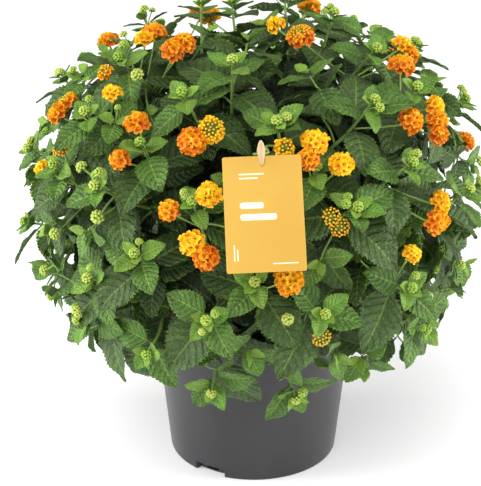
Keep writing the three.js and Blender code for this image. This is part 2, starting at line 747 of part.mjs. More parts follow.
limbs.forEach((limb) => occupy(routeBalls(limb, LIMB_RADIUS, false), "woody"));
occupy(routeBalls(holder, HOLDER_RADIUS, false).slice(1), shoots[HOLDER_SHOOT].name);
for (const shoot of shoots) {
  shoot.stems.forEach((stem) => occupy(routeBalls(stem.points, STEM_RADIUS, true), shoot.name));
  for (const { points } of shoot.peduncles) {
    occupy(routeBalls(points, PEDUNCLE_RADIUS, false).slice(1), shoot.name);
  }
  for (const { knob } of shoot.stems) {
    occupy([{ point: knob[0], reach: KNOB_RADIUS + KNOB_MARGIN, near: false }], shoot.name);
  }
}

// A pair of leaves on opposite flats of a square stem.
function placePair(shoot, stem, back, kind, quarter, random) {
  const { point, direction } = backFromEnd(stem.points, back);
  const { first } = routeFrames(stem.points)[STEM_PIECES];
  const flat = plus(first, direction, -first.dot(direction)).normalize();
  const other = direction.clone().cross(flat);
  for (const flip of [0, 2]) {
    const turn = ((stem.quarter + quarter + flip + 0.5) * Math.PI) / 2;
    const side = turned(flat, other, turn);
    const length = kind.length * (0.88 + 0.24 * random());
    const leaf = placeLeaf(point, direction, side, kind, length, shoot.name);
    if (leaf) shoot.leaves.push(leaf);
  }
}

function placeRound(kind, quarter, seed) {
  shoots.forEach((shoot, shootIndex) => {
    const random = randomFrom(seed + shootIndex);
    for (const stem of shoot.stems) {
      if (stem.length > kind.back + BARE_FOOT) placePair(shoot, stem, kind.back, kind, quarter, random);
    }
  });
}
placeRound(LARGE, 0, 100);
placeRound(MEDIUM, 1, 200);
placeRound(LOWER, 1, 600);

// ---- Pieces ----
const group = new THREE.Group();

function addPiece(name, geometry, colour, roughness) {
  const material = new THREE.MeshStandardMaterial({ color: colour, roughness, metalness: 0 });
  const mesh = new THREE.Mesh(geometry, material);
  mesh.name = name;
  group.add(mesh);
}

// A flat outline pushed out to a depth, as a solid in its own plane.
function prism(corners, depth) {
  const shape = new THREE.Shape(corners.map(([x, y]) => new THREE.Vector2(x, y)));
  return new THREE.ExtrudeGeometry(shape, { depth, bevelEnabled: false });
}

function potRadius(z) {
  return POT_BASE_RADIUS + ((POT_RIM_RADIUS - POT_BASE_RADIUS) * z) / POT_HEIGHT;
}

function potGeometry() {
  const bandFoot = POT_HEIGHT - RIM_BAND;
  const profile = [
    [0, 0],
    [potRadius(0), 0],
    [potRadius(bandFoot), bandFoot],
    [potRadius(bandFoot) + RIM_STEP, bandFoot + 1.2],
    [potRadius(POT_HEIGHT) + RIM_STEP, POT_HEIGHT],
    [potRadius(POT_HEIGHT) - POT_WALL, POT_HEIGHT],
    [potRadius(FOOT_HEIGHT) - POT_WALL, FOOT_HEIGHT],
    [FOOT_INNER_RADIUS, FOOT_HEIGHT],
    [FOOT_INNER_RADIUS, POT_FLOOR],
    [0, POT_FLOOR],
  ];
  const lathe = new THREE.LatheGeometry(profile.map(([r, z]) => new THREE.Vector2(r, z)), POT_SEGMENTS);
  let solid = meshSolid(lathe.rotateX(Math.PI / 2));
  for (let i = 0; i < DRAIN_COUNT; i++) {
    const angle = DRAIN_FIRST_ANGLE * DEGREE + (i * 2 * Math.PI) / DRAIN_COUNT;
    const half = DRAIN_WIDTH / 2;
    const recess = prism([
      [-half - 2, -1], [half + 2, -1], [half - 2, DRAIN_HEIGHT - 2], [half - 5, DRAIN_HEIGHT],
      [-half + 5, DRAIN_HEIGHT], [-half + 2, DRAIN_HEIGHT - 2],
    ], DRAIN_DEPTH + 10);
    const holeHalf = DRAIN_HOLE_WIDTH / 2;
    const holeFoot = DRAIN_HEIGHT - DRAIN_HOLE_HEIGHT - 0.5;
    const hole = prism([
      [-holeHalf, holeFoot], [holeHalf, holeFoot],
      [holeHalf, holeFoot + DRAIN_HOLE_HEIGHT], [-holeHalf, holeFoot + DRAIN_HOLE_HEIGHT],
    ], DRAIN_DEPTH + 20);
    for (const [cutter, start] of [[recess, POT_BASE_RADIUS - DRAIN_DEPTH], [hole, FOOT_INNER_RADIUS - 4]]) {
      cutter.translate(0, 0, start).rotateX(Math.PI / 2).rotateZ(angle + Math.PI / 2);
      solid = solid.subtract(meshSolid(cutter));
    }
  }
  return solidGeometry(solid);
}

function soilGeometry() {
  const profile = [
    [0, POT_FLOOR + GAP],
    [FOOT_INNER_RADIUS - GAP, POT_FLOOR + GAP],
    [FOOT_INNER_RADIUS - GAP, FOOT_HEIGHT + GAP],
    [potRadius(FOOT_HEIGHT) - POT_WALL - 2 * GAP, FOOT_HEIGHT + GAP],
    [potRadius(SOIL_TOP) - POT_WALL - 2 * GAP, SOIL_TOP],
    [62, SOIL_TOP + 0.4 * SOIL_MOUND],
    [32, SOIL_TOP + 0.9 * SOIL_MOUND],
    [0, SOIL_TOP + SOIL_MOUND],
  ];
  const lathe = new THREE.LatheGeometry(profile.map(([r, z]) => new THREE.Vector2(r, z)), SOIL_SEGMENTS);
  let solid = meshSolid(lathe.rotateX(Math.PI / 2));
  const hole = [plus(baseStem[0], UP, -2 * GAP), baseStem[1]];
  const holeRadii = BASE_STEM_RADII.map((radius) => radius + 2 * GAP);
  solid = solid.subtract(rod(hole, holeRadii, BASE_STEM_SIDES));
  return solidGeometry(solid);
}

function woodyGeometry() {
  const pieces = [rod(baseStem, BASE_STEM_RADII, BASE_STEM_SIDES)];
  trunks.forEach((trunk) => pieces.push(rod(trunk, TRUNK_RADII, TRUNK_SIDES)));
  limbs.forEach((limb, i) => pieces.push(rod(limb, LIMB_RADII, 3, null, shoots[i].forkDirection)));
  return solidGeometry(joined(pieces));
}

function shootGeometry(shoot) {
  const pieces = shoot.stems.map((stem, i) => {
    const radii = [...(i === 0 ? MAIN_STEM_RADII : SIDE_STEM_RADII), KNOB_RADIUS, 0];
    return rod([...stem.points, ...stem.knob], radii, 4, i === 0 ? shoot.forkDirection : null);
  });
  for (const peduncle of shoot.peduncles) {
    pieces.push(rod(peduncle.points, [PEDUNCLE_RADIUS, PEDUNCLE_RADIUS], 3));
    if (peduncle.head) pieces.push(budHeadSolid(peduncle.head));
  }
  if (shoot === shoots[HOLDER_SHOOT]) pieces.push(rod(holder, holder.map(() => HOLDER_RADIUS), 4));
  shoot.leaves.forEach((leaf) => pieces.push(leafSolid(leaf)));
  return solidGeometry(joined(pieces));
}

function cardGeometry() {
  const half = CARD_WIDTH / 2;
  const plate = prism([[-half, -CARD_HEIGHT], [half, -CARD_HEIGHT], [half, 0], [-half, 0]], CARD_THICKNESS);
  return plate.applyMatrix4(cardFrame);
}

// The clip is a slim wooden peg with pointed oval sides. A slot from below holds the card, a wider
// hollow above the card lets the stalk through, and a shallow groove runs down its front.
function clipGeometry() {
  const half = CLIP_WIDTH / 2;
  const top = CLIP_LENGTH - CLIP_GRIP;
  const foot = -CLIP_GRIP - 1;
  const outline = [
    [-0.35 * half, -CLIP_GRIP], [0.35 * half, -CLIP_GRIP], [0.95 * half, 0.2 * top], [half, 0.38 * top],
    [0.6 * half, 0.8 * top], [0.2 * half, top], [-0.2 * half, top], [-0.6 * half, 0.8 * top],
    [-half, 0.38 * top], [-0.95 * half, 0.2 * top],
  ];
  const block = (left, right, low, high, back, front) => {
    const plate = prism([[left, low], [right, low], [right, high], [left, high]], front - back);
    return meshSolid(plate.translate(0, 0, back));
  };
  const middle = CARD_THICKNESS / 2;
  const front = middle + CLIP_DEPTH / 2;
  const hollow = HOLDER_RADIUS + GAP;
  const body = prism(outline, CLIP_DEPTH).translate(0, 0, middle - CLIP_DEPTH / 2);
  const solid = meshSolid(body)
    .subtract(block(-CLIP_WIDTH, CLIP_WIDTH, foot, HOLDER_RISE, -GAP, CARD_THICKNESS + GAP))
    .subtract(block(-CLIP_WIDTH, CLIP_WIDTH, GAP, HOLDER_RISE + hollow, middle - hollow, middle + hollow))
    .subtract(block(-0.6, 0.6, foot, 0.8 * top, front - 0.8, front + 1));
  return solidGeometry(solid).applyMatrix4(cardFrame);
}

addPiece("pot", potGeometry(), 0x4b4b4e, 0.55);
addPiece("soil", soilGeometry(), 0x2b2019, 0.95);
addPiece("woody_stems", woodyGeometry(), 0x6b5a3c, 0.85);
shoots.forEach((shoot) => addPiece(shoot.name, shootGeometry(shoot), 0x3f7a2c, 0.6));
blooms.forEach((heads, i) => {
  const name = `bloom_${String(i + 1).padStart(2, "0")}`;
  addPiece(name, solidGeometry(joined(heads.map(headSolid))), 0xf59a1c, 0.6);
});
addPiece("label_card", cardGeometry(), 0xf7c85f, 0.5);
addPiece("label_clip", clipGeometry(), 0xe2cfa4, 0.7);

export default group;
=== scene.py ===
"""Looks of a potted lantana in flower: toothed leaves, flower heads, pot, soil, name card and studio.

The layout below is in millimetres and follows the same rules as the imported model, so every fine stem,
leaf and head takes the place of its plain solid. Smaller tip leaves, filling twigs and inner leaves are
placed after them, where there is room. Meshes are scaled to metres when they are made.
"""
import collections
import functools
import math

import bpy
import numpy as np
from mathutils import Matrix, Vector


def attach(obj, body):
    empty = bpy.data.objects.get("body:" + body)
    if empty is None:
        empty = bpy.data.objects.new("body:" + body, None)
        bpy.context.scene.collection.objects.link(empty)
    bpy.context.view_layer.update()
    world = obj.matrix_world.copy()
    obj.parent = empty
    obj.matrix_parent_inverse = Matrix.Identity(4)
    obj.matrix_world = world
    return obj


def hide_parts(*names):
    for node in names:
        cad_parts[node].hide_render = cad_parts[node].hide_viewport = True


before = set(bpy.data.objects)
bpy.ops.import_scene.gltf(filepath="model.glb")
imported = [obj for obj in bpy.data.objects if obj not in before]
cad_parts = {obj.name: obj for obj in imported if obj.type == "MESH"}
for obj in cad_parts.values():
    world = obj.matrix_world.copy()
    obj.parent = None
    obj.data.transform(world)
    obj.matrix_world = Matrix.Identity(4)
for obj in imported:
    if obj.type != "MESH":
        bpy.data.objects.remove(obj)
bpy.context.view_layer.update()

MM = 0.001
DEGREE = math.pi / 180
UP = np.array([0.0, 0.0, 1.0])
GAP = 0.35

# ---- Pot and soil ----
POT_HEIGHT = 150
POT_RIM_RADIUS = 95
POT_BASE_RADIUS = 80
POT_WALL = 2.4
POT_FLOOR = 3
RIM_BAND = 12
RIM_STEP = 1.6
FOOT_HEIGHT = 15
FOOT_INNER_RADIUS = 66
DRAIN_COUNT = 3
DRAIN_FIRST_ANGLE = -121
DRAIN_HALF_WIDTH = 15.5
DRAIN_HEIGHT = 9
DRAIN_DEPTH = 6
DRAIN_HOLE_HALF_WIDTH = 6.5
DRAIN_HOLE_DEPTH = 7
SOIL_TOP = 136
SOIL_MOUND = 5

# ---- Crown ----
CROWN_REACH = 200
CROWN_RISE = 172
CROWN_DROP = 150
CROWN_CENTRE_Z = 245
CROWN_SQUARENESS = 2.5
HEART_Z = 215
HUB_Z = 176
FORK_SHARE = 0.54
HEAD_LIFT = 5
HEAD_CLOSENESS = 0.62
HEAD_UPTURN = 0.35
TIP_UPTURN = 0.45
TIP_CLEARANCE = 7

# ---- Stems ----
BASE_STEM_FOOT = 116
BASE_STEM_TOP = 152
BASE_STEM_RADII = [9, 7]
BASE_FLARE_RADIUS = 8.2  # at the top of the soil
TRUNK_COUNT = 3
TRUNK_FOOT = 146
TRUNK_SPREAD = 22
TRUNK_RADII = [4, 5, 4]
TRUNK_MIDDLE = 0.4
LIMB_RADIUS = 2.6
LIMB_RADII = [3.2, 2.8, 2.4]
LIMB_PIECES = 2
LIMB_STEP = 4.5
LIMB_ROOT_PULL = 0.3
LIMB_END_PULL = 0.4
STEM_RADIUS = 1.4
MAIN_STEM_RADII = [1.7, 1.6, 1.4, 1.1]
SIDE_STEM_RADII = [1, 1.5, 1.4, 1.1]
STEM_PIECES = 3
ROOT_PULL = 0.3
TIP_PULL = 0.35
SIDE_STEM_TURN = 1.5
PEDUNCLE_RADIUS = 0.8
PEDUNCLE_CHOICES = 3
PEDUNCLE_STEP = 7
PEDUNCLE_BACK = 15
PEDUNCLE_SLANT = 0.3
PEDUNCLE_LIMIT = 0.8
BUD_DEPTH = 0.4
HEAD_DEPTH = 0.45
KNOB_LENGTH = 13
KNOB_RADIUS = 3.2

# ---- Leaves ----
# Length with stalk, spread from the stem and droop in degrees, distance behind the stem's tip, age, and
# the teeth on each side and columns on each half of the fine mesh. A kind with an open distance only
# grows where its middle is at least that far from everything else. The tip of a kind with a limit stays
# within that share of the crown's reach. The inner leaves grow at the distances listed below the kinds.
KIND_FIELDS = "length spread droop back age teeth half open limit"
Kind = collections.namedtuple("Kind", KIND_FIELDS, defaults=(0, math.inf))
LARGE = Kind(58, 76, 38, 24, 0.85, 15, 3)
MEDIUM = Kind(39, 58, 26, 7, 0.5, 12, 3)
LOWER = Kind(54, 82, 44, 46, 1.0, 14, 3, open=22)
SMALL = Kind(25, 46, 20, 1, 0.2, 9, 3)
TINY = Kind(15, 34, 10, -4, 0.0, 5, 2)
TWIG_LARGE = Kind(44, 72, 36, 11, 0.8, 12, 2, limit=1.02)
TWIG_SMALL = Kind(29, 52, 24, 2, 0.4, 9, 2, limit=1.05)
INNER = Kind(50, 80, 40, 0, 1.0, 9, 1, limit=0.97)
TWIG_TINY_BACK = -3
INNER_BACKS = (46, 60, 74, 92)
LIMB_BACKS = (6, 22, 38, 54)
TWIG_INNER_BACKS = (20, 30, 42)
LEAF_HALF_WIDTH = 0.32
LEAF_STALK = 0.14
LEAF_STALK_HALF_WIDTH = 0.95
LEAF_LENGTHS = (0.88, 0.24)  # least share of its kind's length, and the range over it
LEAF_WIDEST = 0.68  # the lower, the nearer to its root a leaf is widest
LEAF_FULLNESS = 0.8  # the lower, the blunter its ends are
LEAF_FOOT = 0.3  # share of a leaf that may touch what its own shoot has there
LEAF_MIDDLE = 0.6  # share of the length where the open distance is taken
LEAF_HALF_THICKNESS = 0.3
LEAF_FOLD = 12 * DEGREE
LEAF_SAG = 0.25
FACE_UP = 0.5
FACE_OUT = 0.3
VEIN_PAIRS = 7
VEIN_SLANT = 0.27  # how far a side vein runs forward, as a share of the blade
VEIN_CURVE = 1.2
BARE_FOOT = 12  # length of a stem above its root that bears no leaves

# ---- Name card and clip ----
CARD_WIDTH = 60
CARD_HEIGHT = 90
CARD_THICKNESS = 0.8
CARD_TOP_CENTRE = (3.5, -195, 356)
CARD_LEAN = 34 * DEGREE
CARD_TURN = 2.5 * DEGREE
CARD_CORNER = 1.6
CLIP_LENGTH = 19
CLIP_WIDTH = 6.5
CLIP_DEPTH = 6
CLIP_GRIP = 7.5
HOLDER_SHOOT = 7
HOLDER_BACK = 28
HOLDER_BEND = np.array([6.0, -172.0, 357.0])
HOLDER_RADIUS = 1
HOLDER_RISE = 1.7
HOLDER_END = 6.5

# Shoots: the tips that grow from one fork, each as azimuth and elevation on the crown, in degrees.
SHOOTS = [
    [[135, 75], [151, 61], [-151, 56]],
    [[-100, 62], [-113, 49]],
    [[69, 71], [6, 75], [-30, 61]],
    [[12, 48], [0, 28], [-32, 44]],
    [[176, 36], [-144, 36], [-170, 16]],
    [[-148, 19], [-170, -1]],
    [[-130, 18], [-123, 34]],
    [[-84, 41], [-54, 44]],
    [[-72, 29], [-50, 24], [-67, 16]],
    [[-28, 10], [-52, -3], [-44, -18]],
    [[-118, 4], [-131, -2], [-137, -16], [-117, -20]],
    [[-105, 18], [-101, -6], [-102, -36]],
    [[-90, 1], [-75, -6], [-78, -44]],
    [[70, 50], [100, 60], [124, 46]],
    [[30, 34], [50, 48], [56, 24]],
    [[84, 26], [108, 14]],
    [[140, 32], [134, 8], [160, 16]],
    [[2, 2], [30, 8], [16, -20]],
    [[60, 0], [72, -24]],
    [[100, -10], [124, -22]],
    [[152, -10], [172, -24]],
]

# Flower heads that touch form one bloom. Each head: azimuth, elevation, radius, tint and stage.
# Tint runs from 0, yellow, to 1, deep orange. The stages are the share of the head still in bud.
OPEN = 0.0
PART_OPEN = 0.45
IN_BUD = 1.0
BLOOMS = [
    [[-156, 65, 10, 0.25, OPEN], [-165, 72, 12, 0.6, OPEN]],
    [[-131, 69, 11, 0.6, OPEN], [-131, 62, 12, 0.75, OPEN]],
    [[-157, 32, 12, 0.6, OPEN], [-156, 38, 10, 0.5, PART_OPEN]],
    [[-139, 45, 9, 0.2, OPEN]],
    [[-150, 50, 8, 0.4, PART_OPEN]],
    [[-124, 38, 12, 0.6, OPEN]],
    [[-102, 39, 13, 0.15, PART_OPEN], [-109, 33, 14, 0.7, OPEN]],
    [[-147, 24, 9, 0.6, IN_BUD]],
    [[-155, 16, 8, 0.2, OPEN]],
    [[-125, 27, 10, 0.65, OPEN]],
    [[-101, 21, 12, 0.25, OPEN]],
    [[-110, 16, 10, 0.6, OPEN]],
    [[-104, 9, 12, 0.35, OPEN], [-101, 6, 12, 0.8, OPEN]],
    [[-66, 82, 9, 0.2, OPEN]],
    [[-59, 74, 14, 0.65, PART_OPEN]],
    [[-8, 56, 11, 0.2, OPEN], [-13, 47, 8, 0.6, OPEN]],
    [[-28, 52, 14, 0.65, OPEN]],
    [[-44, 36, 14, 0.65, OPEN]],
    [[-30, 37, 10, 0.3, OPEN], [-34, 31, 11, 0.6, OPEN], [-37, 26, 10, 0.7, OPEN]],
    [[-83, 34, 9, 0.2, PART_OPEN]],
    [[-75, 35, 13, 0.25, OPEN], [-77, 31, 11, 0.6, OPEN]],
    [[-69, 28, 12, 0.2, OPEN]],
    [[-73, 15, 8, 0.3, IN_BUD], [-71, 12, 9, 0.8, IN_BUD]],
    [[-42, 12, 13, 0.35, OPEN], [-45, 7, 13, 0.6, OPEN], [-34, 6, 8, 0.5, OPEN]],
    [[-83, 2, 15, 0.5, OPEN]],
    [[-52, 3, 9, 0.2, OPEN]],
    [[-75, -11, 9, 0.4, IN_BUD]],
    [[62, 62, 13, 0.5, OPEN]],
    [[112, 52, 12, 0.6, OPEN], [104, 48, 12, 0.3, OPEN]],
    [[150, 44, 12, 0.6, OPEN]],
    [[40, 36, 14, 0.55, OPEN]],
    [[92, 16, 13, 0.3, OPEN], [98, 12, 11, 0.7, OPEN]],
    [[142, 8, 12, 0.5, PART_OPEN]],
    [[14, 10, 13, 0.6, OPEN]],
]

# Heads still in green bud, which belong to the shoots themselves.
BUD_HEADS = [
    [-135, 53, 6.5],
    [-137, 22, 6],
    [-129, 11, 7],
    [-145, 3, 6],
    [-83, -5, 6],
    [-45, -7, 5],
]


# ---- Small helpers ----
def vec(x, y, z):
    return np.array([x, y, z], dtype=float)


def polar(out, turn, z):
    """A point or vector at a distance out from the z axis, in a direction given as an angle."""
    return vec(out * math.cos(turn), out * math.sin(turn), z)


def unit(vector):
    return vector / np.linalg.norm(vector)


def distance_of(first, second):
    return float(np.linalg.norm(second - first))


def turned(first, second, angle):
    """The first of two unit vectors that are square to each other, turned towards the second."""
    return first * math.cos(angle) + second * math.sin(angle)


def random_from(seed):
    """A function that gives numbers from 0 to 1, which depend only on the seed."""
    state = seed * 7919 + 17

    def step():
        nonlocal state
        state = (state * 16807) % 2147483647
        return state / 2147483647

    step()
    step()
    return step


def varied(random, limits):
    """A random number from a least one upwards, over a range."""
    least, extent = limits
    return least + extent * random()


def crown_point(azimuth, elevation, lift=0.0):
    """A point on the crown's squarish surface, or at a distance over it."""
    power = 2 / CROWN_SQUARENESS
    rise = elevation * DEGREE
    half = CROWN_RISE if rise > 0 else CROWN_DROP
    out = (CROWN_REACH + lift) * math.cos(rise) ** power
    up = (half + lift) * math.copysign(abs(math.sin(rise)) ** power, rise)
    return polar(out, azimuth * DEGREE, CROWN_CENTRE_Z + up)


def crown_reach(point):
    """How far out a point lies: 0 in the middle of the crown and 1 on its surface."""
    half = CROWN_RISE if point[2] > CROWN_CENTRE_Z else CROWN_DROP
    out = math.hypot(point[0], point[1]) / CROWN_REACH
    up = abs(point[2] - CROWN_CENTRE_Z) / half
    return (out ** CROWN_SQUARENESS + up ** CROWN_SQUARENESS) ** (1 / CROWN_SQUARENESS)


def square_to(vector, direction):
    """What is left of a vector square to a unit direction, as a unit vector."""
    return unit(vector - direction * vector.dot(direction))


def growth(point, upward):
    """Direction of growth at a point: away from the heart of the plant, turned up by an amount."""
    return unit(unit(point - vec(0, 0, HEART_Z)) + UP * upward)


def sideways(direction, angle):
    """A unit vector square to the given one, turned about it by an angle."""
    reference = UP if abs(direction[2]) < 0.9 else vec(1, 0, 0)
    first = unit(np.cross(reference, direction))
    return turned(first, np.cross(direction, first), angle)


def route_frames(points, start_direction=None, end_direction=None):
    """Two directions across a route at each of its points, carried along it without twisting."""
    last = len(points) - 1
    first = None
    frames = []
    for i in range(last + 1):
        direction = unit(points[min(i + 1, last)] - points[max(i - 1, 0)])
        if i == 0 and start_direction is not None:
            direction = start_direction
        if i == last and end_direction is not None:
            direction = end_direction
        first = sideways(direction, 0) if first is None else square_to(first, direction)
        frames.append((first, np.cross(direction, first)))
    return frames


def route(start, start_pull, end_pull, end, pieces):
    """A bent route of a few straight pieces, drawn from a smooth curve."""
    points = []
    for i in range(pieces + 1):
        t = i / pieces
        k = 1 - t
        points.append(
            k ** 3 * start + 3 * k * k * t * (start + start_pull)
            + 3 * k * t * t * (end - end_pull) + t ** 3 * end
        )
    return points


def back_from_end(points, distance):
    """The point and direction at a distance back from the end of a route, or beyond it if negative."""
    left = distance
    for i in range(len(points) - 1, 0, -1):
        step = points[i] - points[i - 1]
        length = float(np.linalg.norm(step))
        if left <= length or i == 1:
            direction = step / length
            return points[i] - direction * left, direction
        left -= length


# ---- Room: what has been placed so far, as small balls, and the heads as large balls ----
LEAF_REACH = 2.2
OWN_SHARE = 0.5
ROUTE_MARGIN = 1
KNOB_MARGIN = 0.6
POT_CLEARANCE = 4
CARD_CLEARANCE = 3
CARD_VIEW = 14
CLIP_VIEW = 30
BALL_STEP = 3
SAMPLE_STEP = 4
LARGEST_NEEDED = 7  # no two small balls need more room than this
CAPACITY = 150000

CARD_FRAME = (
    Matrix.Translation(CARD_TOP_CENTRE)
    @ Matrix.Rotation(math.pi / 2 - CARD_LEAN, 4, "X")
    @ Matrix.Rotation(CARD_TURN, 4, "Z")
)
CARD_AXES = np.array(CARD_FRAME)[:3, :3]
CARD_ORIGIN = np.array(CARD_TOP_CENTRE, dtype=float)


def on_card(x, y, z):
    return CARD_ORIGIN + CARD_AXES @ vec(x, y, z)


class Room:
    """Space taken up by leaves, stems and heads."""

    def __init__(self):
        self.count = 0
        self.points = np.zeros((CAPACITY, 3))
        self.reach = np.zeros(CAPACITY)
        self.near = np.zeros(CAPACITY, dtype=bool)
        self.owner = np.zeros(CAPACITY, dtype=int)
        self.large_points = np.zeros((0, 3))
        self.large_radii = np.zeros(0)

    def occupy(self, points, reach, near, owner):
        span = slice(self.count, self.count + len(points))
        self.points[span] = points
        self.reach[span] = reach
        self.near[span] = near
        self.owner[span] = owner
        self.count += len(points)

    def add_large(self, centre, radius):
        self.large_points = np.vstack([self.large_points, centre])
        self.large_radii = np.append(self.large_radii, radius)

    def around(self, centre, distance):
        """The small balls that may matter within a distance of a point."""
        taken = self.points[:self.count]
        index = np.flatnonzero(np.abs(taken - centre).max(axis=1) < distance + LARGEST_NEEDED)
        return self.points[index], self.reach[index], self.near[index], self.owner[index]

    def is_free(self, points, reach, near, owner, around):
        """True if balls of one reach at the points touch nothing, given the small balls around them."""
        over_pot = np.hypot(points[:, 0], points[:, 1]) < POT_RIM_RADIUS + RIM_STEP + POT_CLEARANCE
        at_pot = over_pot & (points[:, 2] < POT_HEIGHT + POT_CLEARANCE)
        if at_pot.any() or in_card_room(points).any():
            return False
        apart = np.linalg.norm(points[:, None] - self.large_points[None], axis=2)
        if (apart < self.large_radii[None] + reach).any():
            return False
        low = points.min(axis=0) - LARGEST_NEEDED
        high = points.max(axis=0) + LARGEST_NEEDED
        close = ((around[0] > low) & (around[0] < high)).all(axis=1)
        if not close.any():
            return True
        other_points, other_reach, other_near, other_owner = (values[close] for values in around)
        apart = ((points[:, None] - other_points[None]) ** 2).sum(axis=2)
        same = other_owner == owner
        needed = (reach + other_reach) * np.where(same, OWN_SHARE, 1.0)
        both_near = (same & other_near)[None] & near[:, None]
        return not ((apart < needed[None] ** 2) & ~both_near).any()


def gap_at(point):
    """Distance from a point to the nearest thing placed so far."""
    small = math.sqrt(((room.points[:room.count] - point) ** 2).sum(axis=1).min())
    large = (np.linalg.norm(room.large_points - point, axis=1) - room.large_radii).min()
    return min(small, large)


def in_card_room(points):
    """The card and the clip keep leaves off their faces and out of the space in front of them."""
    local = (points - CARD_ORIGIN) @ CARD_AXES
    x, y, z = np.abs(local[:, 0]), local[:, 1], local[:, 2]
    in_room = np.zeros(len(points), dtype=bool)
    for half, low, high, back, front in (
        (CARD_WIDTH / 2, -CARD_HEIGHT - CARD_CLEARANCE, 0, 0, CARD_VIEW),
        (CLIP_WIDTH / 2, -CLIP_GRIP, CLIP_LENGTH - CLIP_GRIP, -CLIP_DEPTH / 2, CLIP_VIEW),
    ):
        beside = (x < half + CARD_CLEARANCE) & (y > low) & (y < high + CARD_CLEARANCE)
        in_room |= beside & (z > back - CARD_CLEARANCE) & (z < front)
    return in_room


room = Room()


def route_balls(points):
    balls = []
    for i in range(1, len(points)):
        count = math.ceil(distance_of(points[i - 1], points[i]) / BALL_STEP)
        for k in range(1, count + 1):
            balls.append(points[i - 1] + (points[i] - points[i - 1]) * (k / count))
    return np.array(balls)


# ---- Leaf form ----
def leaf_shape(share):
    """Half width as a share of the widest, at a share of the way along the leaf, stalk included."""
    blade = np.clip((np.asarray(share, dtype=float) - LEAF_STALK) / (1 - LEAF_STALK), 0, 1)
    inside = (blade > 0) & (blade < 1)
    return np.where(inside, np.abs(np.sin(math.pi * blade ** LEAF_WIDEST)) ** LEAF_FULLNESS, 0.0)


def leaf_frame(root, stem_direction, side, kind, swing, lift):
    spread = kind.spread * DEGREE
    along = turned(stem_direction, side, spread)
    face = turned(stem_direction, side, spread - math.pi / 2)
    along = unit(along - UP * LEAF_SAG)
    face = unit(face + UP * FACE_UP + growth(root, 0) * FACE_OUT)
    along = square_to(along, face)
    across = np.cross(face, along)
    swung = turned(along, across, swing)
    lifted = turned(swung, face, lift)
    turned_face = turned(face, swung, -lift)
    return {"root": root, "along": lifted, "face": turned_face, "across": np.cross(turned_face, lifted)}


def leaf_points(leaf, distance, offset, rise):
    """Points of a leaf: distance along its drooping midrib, distance across, and height over the rib."""
    droop = leaf["kind"].droop * DEGREE
    bend = (droop * distance / leaf["length"])[..., None]
    radius = leaf["length"] / droop
    normal = leaf["face"] * np.cos(bend) + leaf["along"] * np.sin(bend)
    forward = leaf["along"] * (radius * np.sin(bend))
    down = leaf["face"] * (radius * (1 - np.cos(bend)))
    across = leaf["across"] * (offset * math.cos(LEAF_FOLD))[..., None]
    return leaf["root"] + forward - down + across + normal * rise[..., None]


def leaf_balls(leaf):
    rows = math.ceil(leaf["length"] / SAMPLE_STEP)
    shares = []
    offsets = []
    for row in range(1, rows + 1):
        share = row / rows
        half = float(leaf_shape(share)) * LEAF_HALF_WIDTH * leaf["length"]
        columns = math.ceil(half / SAMPLE_STEP)
        for column in range(-columns, columns + 1):
            shares.append(share)
            offsets.append(half * column / columns if columns else 0.0)
    shares = np.array(shares)
    offsets = np.array(offsets)
    rise = np.abs(offsets) * math.sin(LEAF_FOLD)
    return leaf_points(leaf, shares * leaf["length"], offsets, rise), shares < LEAF_FOOT


SWINGS_AND_LIFTS = [
    [0, 0], [0, -12], [14, 0], [-14, 0], [0, 14], [22, -14], [-22, -14],
    [0, -28], [30, 6], [-30, 6], [0, 28], [42, -10], [-42, -10], [20, 30], [-20, 30],
]
TRIES = [(swing, lift, share) for share in (1, 0.86, 0.72) for swing, lift in SWINGS_AND_LIFTS]


def place_leaf(root, stem_direction, side, kind, length, owner):
    """The first way to hold the leaf that is clear of everything placed before, or None."""
    around = room.around(root, length)
    for swing, lift, share in TRIES:
        leaf = leaf_frame(root, stem_direction, side, kind, swing * DEGREE, lift * DEGREE)
        leaf["kind"] = kind
        leaf["length"] = length * share
        points, near = leaf_balls(leaf)
        along_rib = np.array([LEAF_MIDDLE, 1.0]) * leaf["length"]
        middle, tip = leaf_points(leaf, along_rib, np.zeros(2), np.zeros(2))
        fits = crown_reach(tip) < kind.limit and (not kind.open or gap_at(middle) > kind.open)
        if fits and room.is_free(points, LEAF_REACH, near, owner, around):
            room.occupy(points, LEAF_REACH, near, owner)
            return leaf
    return None


# ---- Layout: heads, stems, then leaves from the largest to the smallest ----
def lay_heads():
    blooms = []
    for index, heads in enumerate(BLOOMS):
        random = random_from(500 + index)
        placed = []
        for azimuth, elevation, radius, tint, stage in heads:
            centre = crown_point(azimuth, elevation, HEAD_LIFT)
            if placed:
                previous = placed[-1]
                touching = HEAD_CLOSENESS * (radius + previous["radius"])
                centre = previous["centre"] + unit(centre - previous["centre"]) * touching
            placed.append({
                "centre": centre, "radius": radius, "axis": growth(centre, HEAD_UPTURN),
                "spin": random() * math.pi, "tint": tint, "stage": stage,
            })
        blooms.append(placed)
    return blooms


blooms = lay_heads()
bud_heads = []
for azimuth, elevation, radius in BUD_HEADS:
    centre = crown_point(azimuth, elevation, HEAD_LIFT)
    bud_heads.append({"centre": centre, "radius": radius, "axis": growth(centre, HEAD_UPTURN)})
open_heads = [head for heads in blooms for head in heads]
all_heads = open_heads + bud_heads
for head in all_heads:
    room.add_large(head["centre"], head["radius"])


def clear_tip(tip):
    """A shoot tip steps aside from any head that stands too near it."""
    for head in all_heads:
        away = tip - head["centre"]
        missing = head["radius"] + KNOB_RADIUS + TIP_CLEARANCE - float(np.linalg.norm(away))
        if missing > 0:
            tip = tip + unit(away) * missing
    return tip


